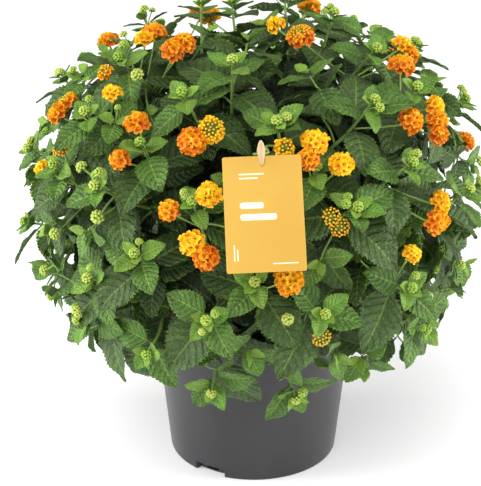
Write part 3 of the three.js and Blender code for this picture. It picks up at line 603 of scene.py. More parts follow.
def shoot_stems(start, fork_direction, tips, random):
    stems = []
    for i, tip in enumerate(tips):
        root = start
        root_direction = fork_direction
        if stems:
            main = stems[0]["points"]
            root = main[0] + (main[1] - main[0]) * (i / len(tips))
            root_direction = unit(fork_direction + unit(tip - root) * SIDE_STEM_TURN)
        length = distance_of(root, tip)
        start_pull = root_direction * (ROOT_PULL * length)
        end_pull = growth(tip, TIP_UPTURN) * (TIP_PULL * length)
        points = route(root, start_pull, end_pull, tip, STEM_PIECES)
        direction = unit(points[-1] - points[-2])
        stems.append({
            "points": points, "direction": direction, "length": length, "peduncles": 0,
            "knob": tip + direction * (KNOB_LENGTH - KNOB_RADIUS), "quarter": math.floor(random() * 2),
        })
    return stems


def lay_shoots():
    hub = vec(0, 0, HUB_Z)
    shoots = []
    for index, tip_angles in enumerate(SHOOTS):
        tips = [clear_tip(crown_point(azimuth, elevation)) for azimuth, elevation in tip_angles]
        middle = sum(tips) / len(tips)
        fork_direction = unit(middle - hub)
        fork = hub + (middle - hub) * FORK_SHARE
        stems = shoot_stems(fork + fork_direction * GAP, fork_direction, tips, random_from(index))
        shoots.append({
            "index": index, "name": f"shoot_{index + 1:02d}", "fork": fork, "direction": fork_direction,
            "stems": stems, "peduncles": [], "leaves": [], "twigs": [],
        })
    return shoots


shoots = lay_shoots()


def add_peduncle(head, is_bud):
    """Each head stands on a peduncle from the nearest stem that leads to it past no other head."""
    depth = BUD_DEPTH * head["radius"] if is_bud else HEAD_DEPTH * head["radius"] + GAP
    choices = []
    for shoot in shoots:
        for stem in shoot["stems"]:
            choices.append((distance_of(stem["points"][STEM_PIECES], head["centre"]), shoot, stem))
    choices.sort(key=lambda choice: choice[0])
    for distance, shoot, stem in choices[:PEDUNCLE_CHOICES]:
        back = PEDUNCLE_BACK + PEDUNCLE_SLANT * distance + PEDUNCLE_STEP * stem["peduncles"]
        point, _ = back_from_end(stem["points"], min(back, PEDUNCLE_LIMIT * stem["length"]))
        axis = unit(growth(head["centre"], HEAD_UPTURN) + unit(head["centre"] - point))
        end = head["centre"] - axis * depth
        balls = route_balls([point, end])
        others = [other for other in all_heads if other is not head]
        if not any(
            (np.linalg.norm(balls - other["centre"], axis=1) < other["radius"] + PEDUNCLE_RADIUS).any()
            for other in others
        ):
            head["axis"] = axis
            stem["peduncles"] += 1
            shoot["peduncles"].append({"points": [point, end], "head": head if is_bud else None})
            return


for head in open_heads:
    add_peduncle(head, False)
for head in bud_heads:
    add_peduncle(head, True)

holder = [
    back_from_end(shoots[HOLDER_SHOOT]["stems"][0]["points"], HOLDER_BACK)[0],
    HOLDER_BEND,
    on_card(HOLDER_END, HOLDER_RISE, CARD_THICKNESS / 2),
    on_card(-HOLDER_END, HOLDER_RISE, CARD_THICKNESS / 2),
]


def lay_wood():
    """The base stem out of the soil, the trunks it divides into, and a limb to each fork."""
    base = [vec(0, 0, BASE_STEM_FOOT), vec(0, 0, BASE_STEM_TOP)]
    trunks = []
    for i in range(TRUNK_COUNT):
        top = polar(TRUNK_SPREAD, (i + 0.25) * 2 * math.pi / TRUNK_COUNT, HUB_Z)
        foot = vec(0, 0, TRUNK_FOOT)
        trunks.append([foot, foot + (top - foot) * TRUNK_MIDDLE, top])
    on_trunk = [0] * TRUNK_COUNT
    limbs = []
    for shoot in shoots:
        distances = [distance_of(trunk[2], shoot["fork"]) for trunk in trunks]
        nearest = distances.index(min(distances))
        foot, _, top = trunks[nearest]
        on_trunk[nearest] += 1
        start = top + unit(foot - top) * (LIMB_STEP * on_trunk[nearest])
        reach = distance_of(start, shoot["fork"])
        start_pull = vec(0, 0, LIMB_ROOT_PULL * reach)
        end_pull = shoot["direction"] * (LIMB_END_PULL * reach)
        limbs.append(route(start, start_pull, end_pull, shoot["fork"], LIMB_PIECES))
    return base, trunks, limbs


base_stem, trunks, limbs = lay_wood()
WOOD_OWNER = -1
for limb in limbs:
    room.occupy(route_balls(limb), LIMB_RADIUS + ROUTE_MARGIN, False, WOOD_OWNER)
room.occupy(route_balls(holder)[1:], HOLDER_RADIUS + ROUTE_MARGIN, False, HOLDER_SHOOT)
for shoot in shoots:
    for stem in shoot["stems"]:
        room.occupy(route_balls(stem["points"]), STEM_RADIUS + ROUTE_MARGIN, True, shoot["index"])
    for peduncle in shoot["peduncles"]:
        balls = route_balls(peduncle["points"])[1:]
        room.occupy(balls, PEDUNCLE_RADIUS + ROUTE_MARGIN, False, shoot["index"])
    for stem in shoot["stems"]:
        room.occupy(stem["knob"][None], KNOB_RADIUS + KNOB_MARGIN, False, shoot["index"])


def place_pair(shoot, stem, back, kind, quarter, random):
    """A pair of leaves on opposite flats of a square stem."""
    point, direction = back_from_end(stem["points"], back)
    first = route_frames(stem["points"])[-1][0]
    flat = square_to(first, direction)
    other = np.cross(direction, flat)
    for flip in (0, 2):
        turn = (stem["quarter"] + quarter + flip + 0.5) * math.pi / 2
        length = kind.length * varied(random, LEAF_LENGTHS)
        leaf = place_leaf(point, direction, turned(flat, other, turn), kind, length, shoot["index"])
        if leaf:
            leaf["tone"] = random_from(len(shoot["leaves"]) + 31 * shoot["index"] + 7)()
            shoot["leaves"].append(leaf)


def place_round(part, kind, back, quarter, seed):
    """A pair of leaves of a kind on every stem, limb or twig, where each is long enough."""
    for shoot in shoots:
        random = random_from(seed + shoot["index"])
        for stem in shoot[part]:
            if stem["length"] > back + BARE_FOOT:
                place_pair(shoot, stem, back, kind, quarter, random)


for shoot, limb in zip(shoots, limbs):
    length = sum(distance_of(limb[i], limb[i + 1]) for i in range(LIMB_PIECES))
    shoot["limbs"] = [{"points": limb, "length": length, "quarter": shoot["index"] % 2}]
for kind, quarter, seed in (
    (LARGE, 0, 100), (MEDIUM, 1, 200), (LOWER, 1, 600), (SMALL, 0, 300), (TINY, 1, 400),
):
    place_round("stems", kind, kind.back, quarter, seed)


# ---- Filling: short side twigs that grow into the thin places, and old leaves inside the crown ----
TWIG_RADIUS = 1.0
TWIG_PULL = 0.35
TWIG_FOLLOW = 0.8  # how much a twig first follows the stem that it grows from
TWIG_UPTURN = 0.3
TWIG_FREE_BALLS = 4  # balls of a twig at its foot that may touch its own stem
TWIG_FOOT_SHARES = (0.15, 0.3, 0.45, 0.6, 0.75)
TWIG_LAYERS = [  # depth under the crown's surface, least gap to fill, longest twig
    {"lift": -6, "gap": 15, "longest": 75},
    {"lift": -34, "gap": 16, "longest": 65},
    {"lift": -62, "gap": 17, "longest": 65},
]
SHORTEST_TWIG = 8
LEAST_SLANT = -0.3
DIRECTION_COUNT = 1500
LOWEST_ELEVATION = -40
GOLDEN_ANGLE = 180 * (3 - math.sqrt(5))  # in degrees; steps of it spread directions evenly
TWIG_POT_MARGINS = (15, 12)  # twigs don't end this near to the pot, outwards and upwards


def crown_directions():
    """Directions spread evenly over the crown, as azimuth and elevation in degrees."""
    for i in range(DIRECTION_COUNT):
        height = 1 - 2 * (i + 0.5) / DIRECTION_COUNT
        elevation = math.asin(height) / DEGREE
        if elevation > LOWEST_ELEVATION:
            yield (i * GOLDEN_ANGLE) % 360, elevation


def lay_twig_feet():
    """Places along the stems and limbs that a twig can grow from."""
    feet = []
    for shoot in shoots:
        for stem in shoot["stems"] + shoot["limbs"]:
            for share in TWIG_FOOT_SHARES:
                foot, direction = back_from_end(stem["points"], share * stem["length"])
                feet.append((shoot, foot, direction))
    return feet


twig_feet = lay_twig_feet()
foot_points = np.array([foot for _, foot, _ in twig_feet])
foot_directions = np.array([direction for _, _, direction in twig_feet])


def twig_foot(point, longest):
    """The nearest place that a twig to the given point can grow from, or None."""
    ways = point - foot_points
    reaches = np.linalg.norm(ways, axis=1)
    slants = (ways * foot_directions).sum(axis=1) / reaches
    fits = (reaches > SHORTEST_TWIG) & (reaches < longest) & (slants > LEAST_SLANT)
    if not fits.any():
        return None
    nearest = int(np.argmin(np.where(fits, reaches, np.inf)))
    return float(reaches[nearest]), *twig_feet[nearest]


def add_twig(point, longest, random):
    found = twig_foot(point, longest)
    if found is None:
        return
    reach, shoot, foot, direction = found
    first_pull = unit(unit(point - foot) + direction * TWIG_FOLLOW) * (TWIG_PULL * reach)
    last_pull = growth(point, TWIG_UPTURN) * (TWIG_PULL * reach)
    points = route(foot, first_pull, last_pull, point, STEM_PIECES)
    balls = route_balls(points)[1:]
    near = np.arange(len(balls)) < TWIG_FREE_BALLS
    if room.is_free(balls, TWIG_RADIUS, near, shoot["index"], room.around(foot, reach)):
        room.occupy(balls, TWIG_RADIUS + ROUTE_MARGIN, True, shoot["index"])
        twig = {"points": points, "length": reach, "quarter": math.floor(random() * 2)}
        shoot["twigs"].append(twig)
        place_pair(shoot, twig, TWIG_LARGE.back, TWIG_LARGE, 0, random)
        place_pair(shoot, twig, TWIG_SMALL.back, TWIG_SMALL, 1, random)
        place_pair(shoot, twig, TWIG_TINY_BACK, TINY, 0, random)


def fill_crown():
    """Twigs to the widest gaps first, layer by layer from the crown's surface inwards."""
    outward, upward = TWIG_POT_MARGINS
    for number, layer in enumerate(TWIG_LAYERS):
        random = random_from(900 + number)
        thin = []
        for azimuth, elevation in crown_directions():
            point = crown_point(azimuth, elevation, layer["lift"])
            over_pot = math.hypot(point[0], point[1]) < POT_RIM_RADIUS + outward
            at_pot = over_pot and point[2] < POT_HEIGHT + upward
            if not at_pot and not in_card_room(point[None])[0]:
                gap = gap_at(point)
                if gap > layer["gap"]:
                    thin.append((gap, point))
        thin.sort(key=lambda entry: -entry[0])
        for _, point in thin:
            if gap_at(point) > layer["gap"]:
                add_twig(point, layer["longest"], random)


def open_limbs():
    """From here on a shoot's leaves may also sit on its limb. The limbs were the first things placed."""
    start = 0
    for shoot in shoots:
        end = start + len(route_balls(shoot["limbs"][0]["points"]))
        room.owner[start:end] = shoot["index"]
        room.near[start:end] = True
        start = end


fill_crown()
open_limbs()
for number, back in enumerate(INNER_BACKS):
    place_round("stems", INNER, back, number % 2, 2000 + 100 * number)
for number, back in enumerate(LIMB_BACKS):
    for quarter in (0, 1):
        place_round("limbs", INNER, back, quarter, 3000 + 100 * number + quarter)
for number, back in enumerate(TWIG_INNER_BACKS):
    place_round("twigs", INNER, back, 1 - number % 2, 4000 + 100 * number)


# ---- Materials ----
def linear(red, green, blue):
    """A colour given as 0 to 255 per channel, as the renderer's linear values."""
    channels = []
    for value in (red, green, blue):
        share = value / 255
        channels.append(share / 12.92 if share <= 0.04045 else ((share + 0.055) / 1.055) ** 2.4)
    return (*channels, 1.0)


class Shader:
    """A node material with one principled shader, and short ways to add nodes to it."""

    def __init__(self, name, **numbers):
        self.material = bpy.data.materials.new(name)
        self.material.use_nodes = True
        self.tree = self.material.node_tree
        self.surface = self.tree.nodes["Principled BSDF"]
        for socket, value in numbers.items():
            self.surface.inputs[socket.replace("_", " ")].default_value = value

    def put(self, socket, value):
        """Joins a socket to another one, or sets it. A colour is set as 0 to 255 per channel."""
        if isinstance(value, bpy.types.NodeSocket):
            self.tree.links.new(value, socket)
        else:
            socket.default_value = linear(*value) if socket.type == "RGBA" else value

    def node(self, kind, settings=None, **inputs):
        made = self.tree.nodes.new(kind)
        for name, value in (settings or {}).items():
            setattr(made, name, value)
        for name, value in inputs.items():
            self.put(made.inputs[name.replace("_", " ")], value)
        return made

    def math(self, operation, *values):
        made = self.tree.nodes.new("ShaderNodeMath")
        made.operation = operation
        for socket, value in zip(made.inputs, values):
            self.put(socket, value)
        return made.outputs[0]

    def times(self, first, second):
        return self.math("MULTIPLY", first, second)

    def band(self, value, low, high, from_value=0.0, to_value=1.0):
        """The value moved smoothly from one range into another."""
        settings = {"interpolation_type": "SMOOTHSTEP"}
        made = self.node("ShaderNodeMapRange", settings, Value=value)
        numbers = {"From Min": low, "From Max": high, "To Min": from_value, "To Max": to_value}
        for name, number in numbers.items():
            made.inputs[name].default_value = number
        return made.outputs[0]

    def mix(self, factor, first, second, blend="MIX"):
        made = self.tree.nodes.new("ShaderNodeMix")
        made.data_type = "RGBA"
        made.blend_type = blend
        self.put(made.inputs[0], factor)
        self.put(made.inputs[6], first)
        self.put(made.inputs[7], second)
        return made.outputs[2]

    def ramp(self, factor, *stops):
        """Colours along a factor. Each stop is its place with its red, green and blue."""
        made = self.node("ShaderNodeValToRGB", Fac=factor)
        elements = made.color_ramp.elements
        for element, (place, *colour) in zip(elements, (stops[0], stops[-1])):
            element.position = place
            element.color = linear(*colour)
        for place, *colour in stops[1:-1]:
            elements.new(place).color = linear(*colour)
        return made.outputs[0]

    def position(self):
        return self.tree.nodes.new("ShaderNodeTexCoord").outputs["Object"]

    def noise(self, scale, detail=3.0, stretch=None):
        vector = self.position()
        if stretch:
            vector = self.node("ShaderNodeMapping", Vector=vector, Scale=stretch).outputs[0]
        made = self.node("ShaderNodeTexNoise", Vector=vector, Scale=scale, Detail=detail)
        return made.outputs["Fac"]

    def cell_edges(self, scale):
        settings = {"feature": "DISTANCE_TO_EDGE"}
        made = self.node("ShaderNodeTexVoronoi", settings, Vector=self.position(), Scale=scale)
        return made.outputs["Distance"]

    def mark(self, name):
        """The three numbers that a mesh carries under a name."""
        made = self.node("ShaderNodeAttribute", {"attribute_name": name})
        parts = self.node("ShaderNodeSeparateXYZ", Vector=made.outputs["Vector"])
        return parts.outputs[0], parts.outputs[1], parts.outputs[2]

    def bump(self, height, distance, strength, normal=None):
        made = self.node("ShaderNodeBump", Height=height, Distance=distance, Strength=strength)
        if normal is not None:
            self.put(made.inputs["Normal"], normal)
        return made.outputs[0]

    def finish(self, colour, **others):
        for socket, value in {"Base Color": colour, **others}.items():
            self.put(self.surface.inputs[socket], value)
        return self.material


def leaf_material():
    """Green by age, with a midrib, curved side veins, a net of small veins and a paler underside. Painted
    shade darkens the vein furrows and vein net of old leaves, and the leaves deep inside the crown.
    """
    shader = Shader(
        "leaf", Subsurface_Weight=0.3, Subsurface_Radius=(0.5, 1.0, 0.15), Subsurface_Scale=0.001,
        Specular_IOR_Level=0.4,
    )
    across, along, underside = shader.mark("place")
    # The third number of nature is how deep a leaf sits in the crown. It drives painted shade.
    age, tone, depth = shader.mark("nature")
    out = shader.math("ABSOLUTE", across)
    forward = shader.times(shader.math("POWER", out, VEIN_CURVE), VEIN_SLANT)
    phase = shader.times(shader.math("SUBTRACT", along, forward), float(VEIN_PAIRS))
    wave = shader.math("ABSOLUTE", shader.math("SUBTRACT", shader.math("FRACT", phase), 0.5))
    # Broad band round each side vein: it shapes the relief, and on old leaves it also paints shade into
    # the furrow.
    furrow_relief_and_shade = shader.band(wave, 0.16, 0.5)
    side_vein = shader.band(wave, 0.45, 0.5)
    midrib = shader.band(out, 0.02, 0.07, 1.0, 0.0)
    net = shader.cell_edges(330.0)
    # The lines of the small-vein net, darkened on old leaves as painted shade in their creases.
    net_crease_shade = shader.band(net, 0.0, 0.3, 1.0, 0.0)

    green = shader.ramp(
        age, (0.0, 126, 162, 54), (0.3, 94, 138, 43), (0.62, 82, 120, 36), (1.0, 66, 92, 34),
    )
    patches = shader.band(shader.noise(90.0), 0.3, 0.7, 0.78, 1.2)
    shade = shader.times(shader.math("ADD", shader.times(tone, 0.5), 0.74), patches)
    # Painted shade: leaves deep inside the crown are darkened, as if shaded by the leaves around them.
    shade = shader.times(shade, shader.band(depth, 0.0, 1.0, 1.04, 0.2))
    grey = shader.node("ShaderNodeCombineColor", Red=shade, Green=shade, Blue=shade).outputs[0]
    green = shader.mix(1.0, green, grey, "MULTIPLY")
    old = shader.band(age, 0.05, 0.8, 0.08, 0.5)
    young = shader.band(age, 0.0, 1.0, 0.7, 0.3)
    # On old leaves, painted shade darkens the net of small veins and the side-vein furrows, where their
    # creases lie.
    for share, colour in (
        (shader.times(net_crease_shade, old), (34, 52, 20)),
        (shader.times(furrow_relief_and_shade, old), (26, 42, 18)),
        (shader.times(side_vein, shader.times(young, 0.6)), (150, 180, 86)),
        (shader.times(midrib, young), (150, 180, 86)),
        (shader.times(underside, 0.8), (136, 162, 104)),
    ):
        green = shader.mix(share, green, colour)

    groove = shader.times(furrow_relief_and_shade, shader.band(age, 0.0, 0.5, 0.3, 1.0))
    coarse = shader.bump(shader.math("SUBTRACT", 1.0, groove), 0.0011, 0.8)
    fine = shader.bump(shader.band(net, 0.0, 0.5), 0.0006, 0.7, coarse)
    return shader.finish(green, Normal=fine, Roughness=shader.band(net, 0.0, 0.5, 0.58, 0.42))


def stem_material():
    shader = Shader("green_stem", Roughness=0.55)
    age = shader.mark("nature")[0]
    green = shader.ramp(age, (0.0, 148, 182, 88), (0.5, 118, 150, 70), (1.0, 118, 108, 66))
    speckle = shader.noise(500.0)
    green = shader.mix(shader.band(speckle, 0.5, 0.75, 0.0, 0.4), green, (92, 104, 52))
    return shader.finish(green, Normal=shader.bump(speckle, 0.0003, 0.4))


def petal_material():
    """Yellow to deep orange by the floret's tint, with a darker throat, and greenish while in bud."""
    shader = Shader("petal", Roughness=0.5, Specular_IOR_Level=0.25)
    radial = shader.mark("place")[0]
    tint, _, closed = shader.mark("nature")
    mottle = shader.noise(420.0, 2.0)
    edge = shader.times(shader.band(radial, 0.3, 1.0, 1.0, -1.0), 0.2)
    level = shader.math("ADD", tint, edge)
    level = shader.math("ADD", level, shader.band(mottle, 0.3, 0.7, -0.08, 0.08))
    colour = shader.ramp(
        level, (0.0, 248, 208, 30), (0.3, 242, 180, 12), (0.55, 232, 144, 6), (0.8, 218, 108, 4),
        (1.0, 192, 78, 4),
    )
    throat = shader.band(radial, 0.05, 0.26, 0.9, 0.0)
    colour = shader.mix(throat, colour, (168, 74, 6))
    in_bud = shader.mix(throat, (196, 206, 62), (86, 104, 26))
    return shader.finish(shader.mix(closed, colour, in_bud), Normal=shader.bump(mottle, 0.0004, 0.35))


def bud_material():
    """Small green to pale yellow buds, darker at their foot."""
    shader = Shader("bud", Roughness=0.5)
    tint = shader.mark("nature")[0]
    foot = shader.band(shader.mark("place")[0], 0.1, 0.7, 0.7, 0.0)
    pale = shader.ramp(tint, (0.0, 116, 160, 48), (0.5, 154, 186, 64), (1.0, 204, 210, 102))
    colour = shader.mix(foot, pale, (92, 132, 44))
    return shader.finish(colour, Normal=shader.bump(shader.noise(900.0), 0.0002, 0.3))


def plastic_material():
    """Dark grey moulded plastic with a fine grain and faint upright flow streaks."""
    shader = Shader("pot_plastic")
    grain = shader.noise(1500.0, 2.0)
    clouds = shader.noise(22.0, 3.0, (1.0, 1.0, 0.35))
    grey = shader.mix(shader.band(clouds, 0.3, 0.7), (38, 37, 40), (46, 45, 48))
    grey = shader.mix(shader.band(grain, 0.62, 0.8, 0.0, 0.25), grey, (120, 120, 124))
    roughness = shader.band(clouds, 0.3, 0.7, 0.3, 0.38)
    return shader.finish(grey, Normal=shader.bump(grain, 0.0002, 0.25), Roughness=roughness)


def soil_material():
    """Dark crumbs, and pieces of bark that are paler or darker by their tone."""
    shader = Shader("soil", Roughness=0.95)
    _, tone, is_bark = shader.mark("nature")
    grain = shader.noise(600.0, 6.0)
    earth = shader.ramp(grain, (0.3, 24, 17, 12), (0.55, 48, 34, 24), (0.8, 84, 62, 44))
    colour = shader.mix(is_bark, earth, shader.mix(tone, (70, 48, 30), (128, 94, 62)))
    return shader.finish(colour, Normal=shader.bump(grain, 0.002, 0.9))


def grained_material(name, roughness, scale, detail, stretch, stops, depth, strength):
    """Bark or wood: a ramp of colours over stretched noise, which also makes the relief."""
    shader = Shader(name, Roughness=roughness)
    grain = shader.noise(scale, detail, stretch)
    return shader.finish(shader.ramp(grain, *stops), Normal=shader.bump(grain, depth, strength))


def bark_material():
    stops = [(0.3, 74, 62, 40), (0.55, 120, 104, 70), (0.75, 150, 136, 98)]
    return grained_material("bark", 0.8, 260.0, 5.0, (1.0, 1.0, 0.25), stops, 0.0012, 0.7)


def wood_material():
    stops = [(0.3, 206, 176, 130), (0.55, 232, 208, 164), (0.8, 243, 224, 188)]
    return grained_material("clip_wood", 0.6, 240.0, 4.0, (1.0, 0.1, 0.12), stops, 0.0002, 0.4)


def card_material():
    shader = Shader("label", Roughness=0.42)
    fibre = shader.noise(1800.0, 2.0)
    drift = shader.noise(14.0, 2.0)
    amber = shader.mix(shader.band(drift, 0.3, 0.7), (208, 158, 37), (213, 167, 47))
    amber = shader.mix(shader.band(fibre, 0.55, 0.8, 0.0, 0.1), amber, (250, 212, 130))
    return shader.finish(amber, Normal=shader.bump(fibre, 0.00008, 0.2))


def mark_material():
    shader = Shader("label_rules", Roughness=0.5)
    fibre = shader.band(shader.noise(1800.0, 2.0), 0.4, 0.8, 0.0, 0.3)
    return shader.finish(shader.mix(fibre, (255, 244, 214), (252, 230, 180)))


LEAF = leaf_material()
STEM = stem_material()
PETAL = petal_material()
BUD = bud_material()
BARK = bark_material()
SOIL = soil_material()
STEM_SLOT = 1  # places of the stem and bud materials in the pieces of the shoots
BUD_SLOT = 2


# ---- Meshes ----
CORNER_CUT = 0.2  # share of each piece of a route that goes when its corners are cut


class Piece:
    """Gathers closed shapes, in millimetres, into one mesh object that stands for CAD nodes."""

    def __init__(self, *materials):
        self.materials = materials
        self.vertices = []
        self.place = []
        self.nature = []
        self.faces = []
        self.slots = []
        self.count = 0

    def add(self, vertices, faces, material=0, place=None, nature=(0.0, 0.0, 0.0)):
        """faces is a list of arrays of triangles or quads that index the given vertices."""
        size = len(vertices)
        self.vertices.append(vertices)
        self.place.append(np.zeros((size, 3)) if place is None else place)
        self.nature.append(np.broadcast_to(np.array(nature, dtype=float), (size, 3)))
        for group in faces:
            self.faces.append(np.asarray(group) + self.count)
            self.slots.append(np.full(len(group), material))
        self.count += size

    def make(self, name, nodes, sharp=50):
        mesh = bpy.data.meshes.new(name)
        vertices = np.concatenate(self.vertices) * MM
        corners = np.concatenate([group.ravel() for group in self.faces])
        sizes = np.concatenate([np.full(len(group), group.shape[1]) for group in self.faces])
        mesh.vertices.add(len(vertices))
        mesh.vertices.foreach_set("co", vertices.ravel())
        mesh.loops.add(len(corners))
        mesh.loops.foreach_set("vertex_index", corners)
        mesh.polygons.add(len(sizes))
        mesh.polygons.foreach_set("loop_start", np.concatenate([[0], np.cumsum(sizes)[:-1]]))
        mesh.polygons.foreach_set("material_index", np.concatenate(self.slots))
        for label, values in (("place", self.place), ("nature", self.nature)):
            attribute = mesh.attributes.new(label, "FLOAT_VECTOR", "POINT")
            attribute.data.foreach_set("vector", np.concatenate(values).ravel())
        for material in self.materials:
            mesh.materials.append(material)
        mesh.update(calc_edges=True)
        mesh.validate()
        mesh.shade_smooth()
        mesh.set_sharp_from_angle(angle=sharp * DEGREE)
        piece = bpy.data.objects.new(name, mesh)
        bpy.context.scene.collection.objects.link(piece)
        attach(piece, "root")
        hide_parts(*nodes)


@functools.cache
def closed_faces(rows, columns):
    """Quads between rings of vertices, and a fan at each end to the two points that follow the rings."""
    k = np.arange(columns)
    after = (k + 1) % columns
    low = np.arange(rows - 1)[:, None] * columns
    quads = np.stack([low + k, low + after, low + columns + after, low + columns + k], axis=-1)
    last = (rows - 1) * columns
    start = np.full(columns, rows * columns)
    fans = [np.stack([start, after, k], axis=1), np.stack([start + 1, last + k, last + after], axis=1)]
    return quads.reshape(-1, 4), np.concatenate(fans)


def lathe(levels, low, high, sides):
    """A round shape about the z axis: rings of a radius and a height, and a point at each end."""
    angles = np.arange(sides) * 2 * math.pi / sides
    rings = [
        np.stack([out * np.cos(angles), out * np.sin(angles), np.full(sides, height)], axis=1)
        for out, height in levels
    ]
    return np.concatenate([*rings, [[0, 0, low], [0, 0, high]]]), closed_faces(len(levels), sides)


def tube(points, radii, sides, start_direction=None, end_direction=None):
    """A round rod through the points, closed by a fan at each end."""
    angles = np.arange(sides) * 2 * math.pi / sides
    frames = route_frames(points, start_direction, end_direction)
    vertices = []
    for point, radius, (first, second) in zip(points, radii, frames):
        ring = np.outer(np.cos(angles), first) + np.outer(np.sin(angles), second)
        vertices.append(point + ring * radius)
    vertices += [points[0][None], points[-1][None]]
    return np.concatenate(vertices), closed_faces(len(points), sides)


def softened(points, radii, rounds=2):
    """The same route with its corners cut, a little more at each round."""
    for _ in range(rounds):
        new_points = [points[0]]
        new_radii = [radii[0]]
        for i in range(1, len(points) - 1):
            for other in (i - 1, i + 1):
                new_points.append(points[i] + (points[other] - points[i]) * CORNER_CUT)
                new_radii.append(radii[i] + (radii[other] - radii[i]) * CORNER_CUT)
        points = [*new_points, points[-1]]
        radii = [*new_radii, radii[-1]]
    return points, radii


# ---- Fine leaf ----
SHADE_START = 0.96  # share of the crown's reach inside which the leaves get darker with painted shade
SHADE_DEPTH = 0.3  # the share over which they do
STALK_ROWS = [0.05, 0.1, LEAF_STALK]  # where the rows of the stalk stand, as shares of the length
TOOTH_ROWS = [(0.45, 1.07), (0.98, 0.94)]  # share of a tooth's length and the margin's factor there
RELIEF_START = 0.06  # share of the leaf over which the blade's relief begins
FOLD_RANGE = 0.3
TWIST_RANGE = 0.5
QUILT_HEIGHT = 0.012  # in shares of the leaf's length, like the height of the ripples
MIDRIB_DEPTH = 0.7  # in shares of the quilt's height
MIDRIB_WIDTH = 0.12
RIPPLE_HEIGHT = 0.016
RIPPLES = 5


def clamped(value):
    return min(1.0, max(0.0, value))


@functools.cache
def leaf_template(teeth, half):
    """The grid of a leaf: share along and margin factor of its rows, side of its columns, and faces."""
    shares = list(STALK_ROWS)
    margins = [0.0] * len(STALK_ROWS)
    for tooth in range(teeth):
        for part, margin in TOOTH_ROWS:
            shares.append(LEAF_STALK + (1 - LEAF_STALK) * (tooth + part) / (teeth + 0.2))
            margins.append(margin)
    sides = np.arange(-half, half + 1) / half
    rows, columns = len(shares), len(sides)
    tip = 1 + rows * columns + rows * (columns - 2)
    top = 1 + np.arange(rows * columns).reshape(rows, columns)
    bottom = top.copy()
    bottom[:, 1:-1] = 1 + rows * columns + np.arange(rows * (columns - 2)).reshape(rows, columns - 2)
    quads = []
    triangles = []
    for grid, step in ((top, 1), (bottom, -1)):
        group = np.stack([grid[:-1, :-1], grid[1:, :-1], grid[1:, 1:], grid[:-1, 1:]], axis=-1)
        root_fan = np.stack([np.zeros(columns - 1, int), grid[0, :-1], grid[0, 1:]], axis=-1)
        tip_fan = np.stack([grid[-1, :-1], np.full(columns - 1, tip), grid[-1, 1:]], axis=-1)
        quads.append(group.reshape(-1, 4)[:, ::step])
        triangles.append(np.concatenate([root_fan, tip_fan])[:, ::step])
    return {
        "shares": np.array(shares), "margins": np.array(margins), "sides": sides,
        "faces": [np.concatenate(quads), np.concatenate(triangles)],
    }




def add_leaf(piece, leaf, random):
    """A thin closed blade with a crenate margin, quilted between its side veins, on a round stalk."""
    grid = leaf_template(leaf["kind"].teeth, leaf["kind"].half)
    length = leaf["length"]
    share = grid["shares"][:, None]
    side = grid["sides"][None, :]
    out = np.abs(side)
    blade = np.clip((share - LEAF_STALK) / (1 - LEAF_STALK), 0, 1)
    width = leaf_shape(share) * LEAF_HALF_WIDTH * length * grid["margins"][:, None]
    stalk = LEAF_STALK_HALF_WIDTH * (0.7 + 0.3 * length / LARGE.length)
    width = np.maximum(width, stalk * (1 - 0.6 * blade))

    slope = math.sin(LEAF_FOLD) + FOLD_RANGE * (random() - 0.4)
    fold = width * out * slope * (1.3 - 0.5 * out)
    twist = TWIST_RANGE * (random() - 0.5) * width * side * blade
    phase = VEIN_PAIRS * (blade - VEIN_SLANT * out ** VEIN_CURVE)
    quilt = np.abs(np.sin(math.pi * phase)) ** 0.7 * np.minimum(1, 4 * out) * (1 - out ** 6)
    quilt = QUILT_HEIGHT * (quilt - MIDRIB_DEPTH * np.exp(-(out / MIDRIB_WIDTH) ** 2))
    turn = 2 * math.pi * random()
    ripple = RIPPLE_HEIGHT * out ** 2 * np.sin(RIPPLES * math.pi * blade + turn + 1.3 * side)
    relief = length * np.clip((share - LEAF_STALK) / RELIEF_START, 0, 1) * (quilt + ripple)
    rise = fold + twist + relief
    thickness = np.where(share <= LEAF_STALK, 0.8 * stalk, LEAF_HALF_THICKNESS) * np.sqrt(1 - out ** 2)

    distance = np.broadcast_to(share * length, rise.shape)
    top = leaf_points(leaf, distance, width * side, rise + thickness)
    bottom = leaf_points(leaf, distance, width * side, rise - thickness)[:, 1:-1]
    root, tip = leaf_points(leaf, np.array([0.0, length]), np.zeros(2), np.zeros(2))
    vertices = np.concatenate([[root], top.reshape(-1, 3), bottom.reshape(-1, 3), [tip]])
    marks = np.stack(np.broadcast_arrays(side, blade, 0.0), axis=-1)
    under = marks[:, 1:-1] + vec(0, 0, 1)
    place = np.concatenate([[[0, 0, 0]], marks.reshape(-1, 3), under.reshape(-1, 3), [[0, 1, 0]]])
    age = clamped(leaf["kind"].age + 0.3 * (leaf["tone"] - 0.5))
    # How deep the leaf sits in the crown, which the leaf material turns into painted shade.
    depth = clamped((SHADE_START - crown_reach(vertices.mean(axis=0))) / SHADE_DEPTH)
    piece.add(vertices, grid["faces"], 0, place, (age, leaf["tone"], depth))


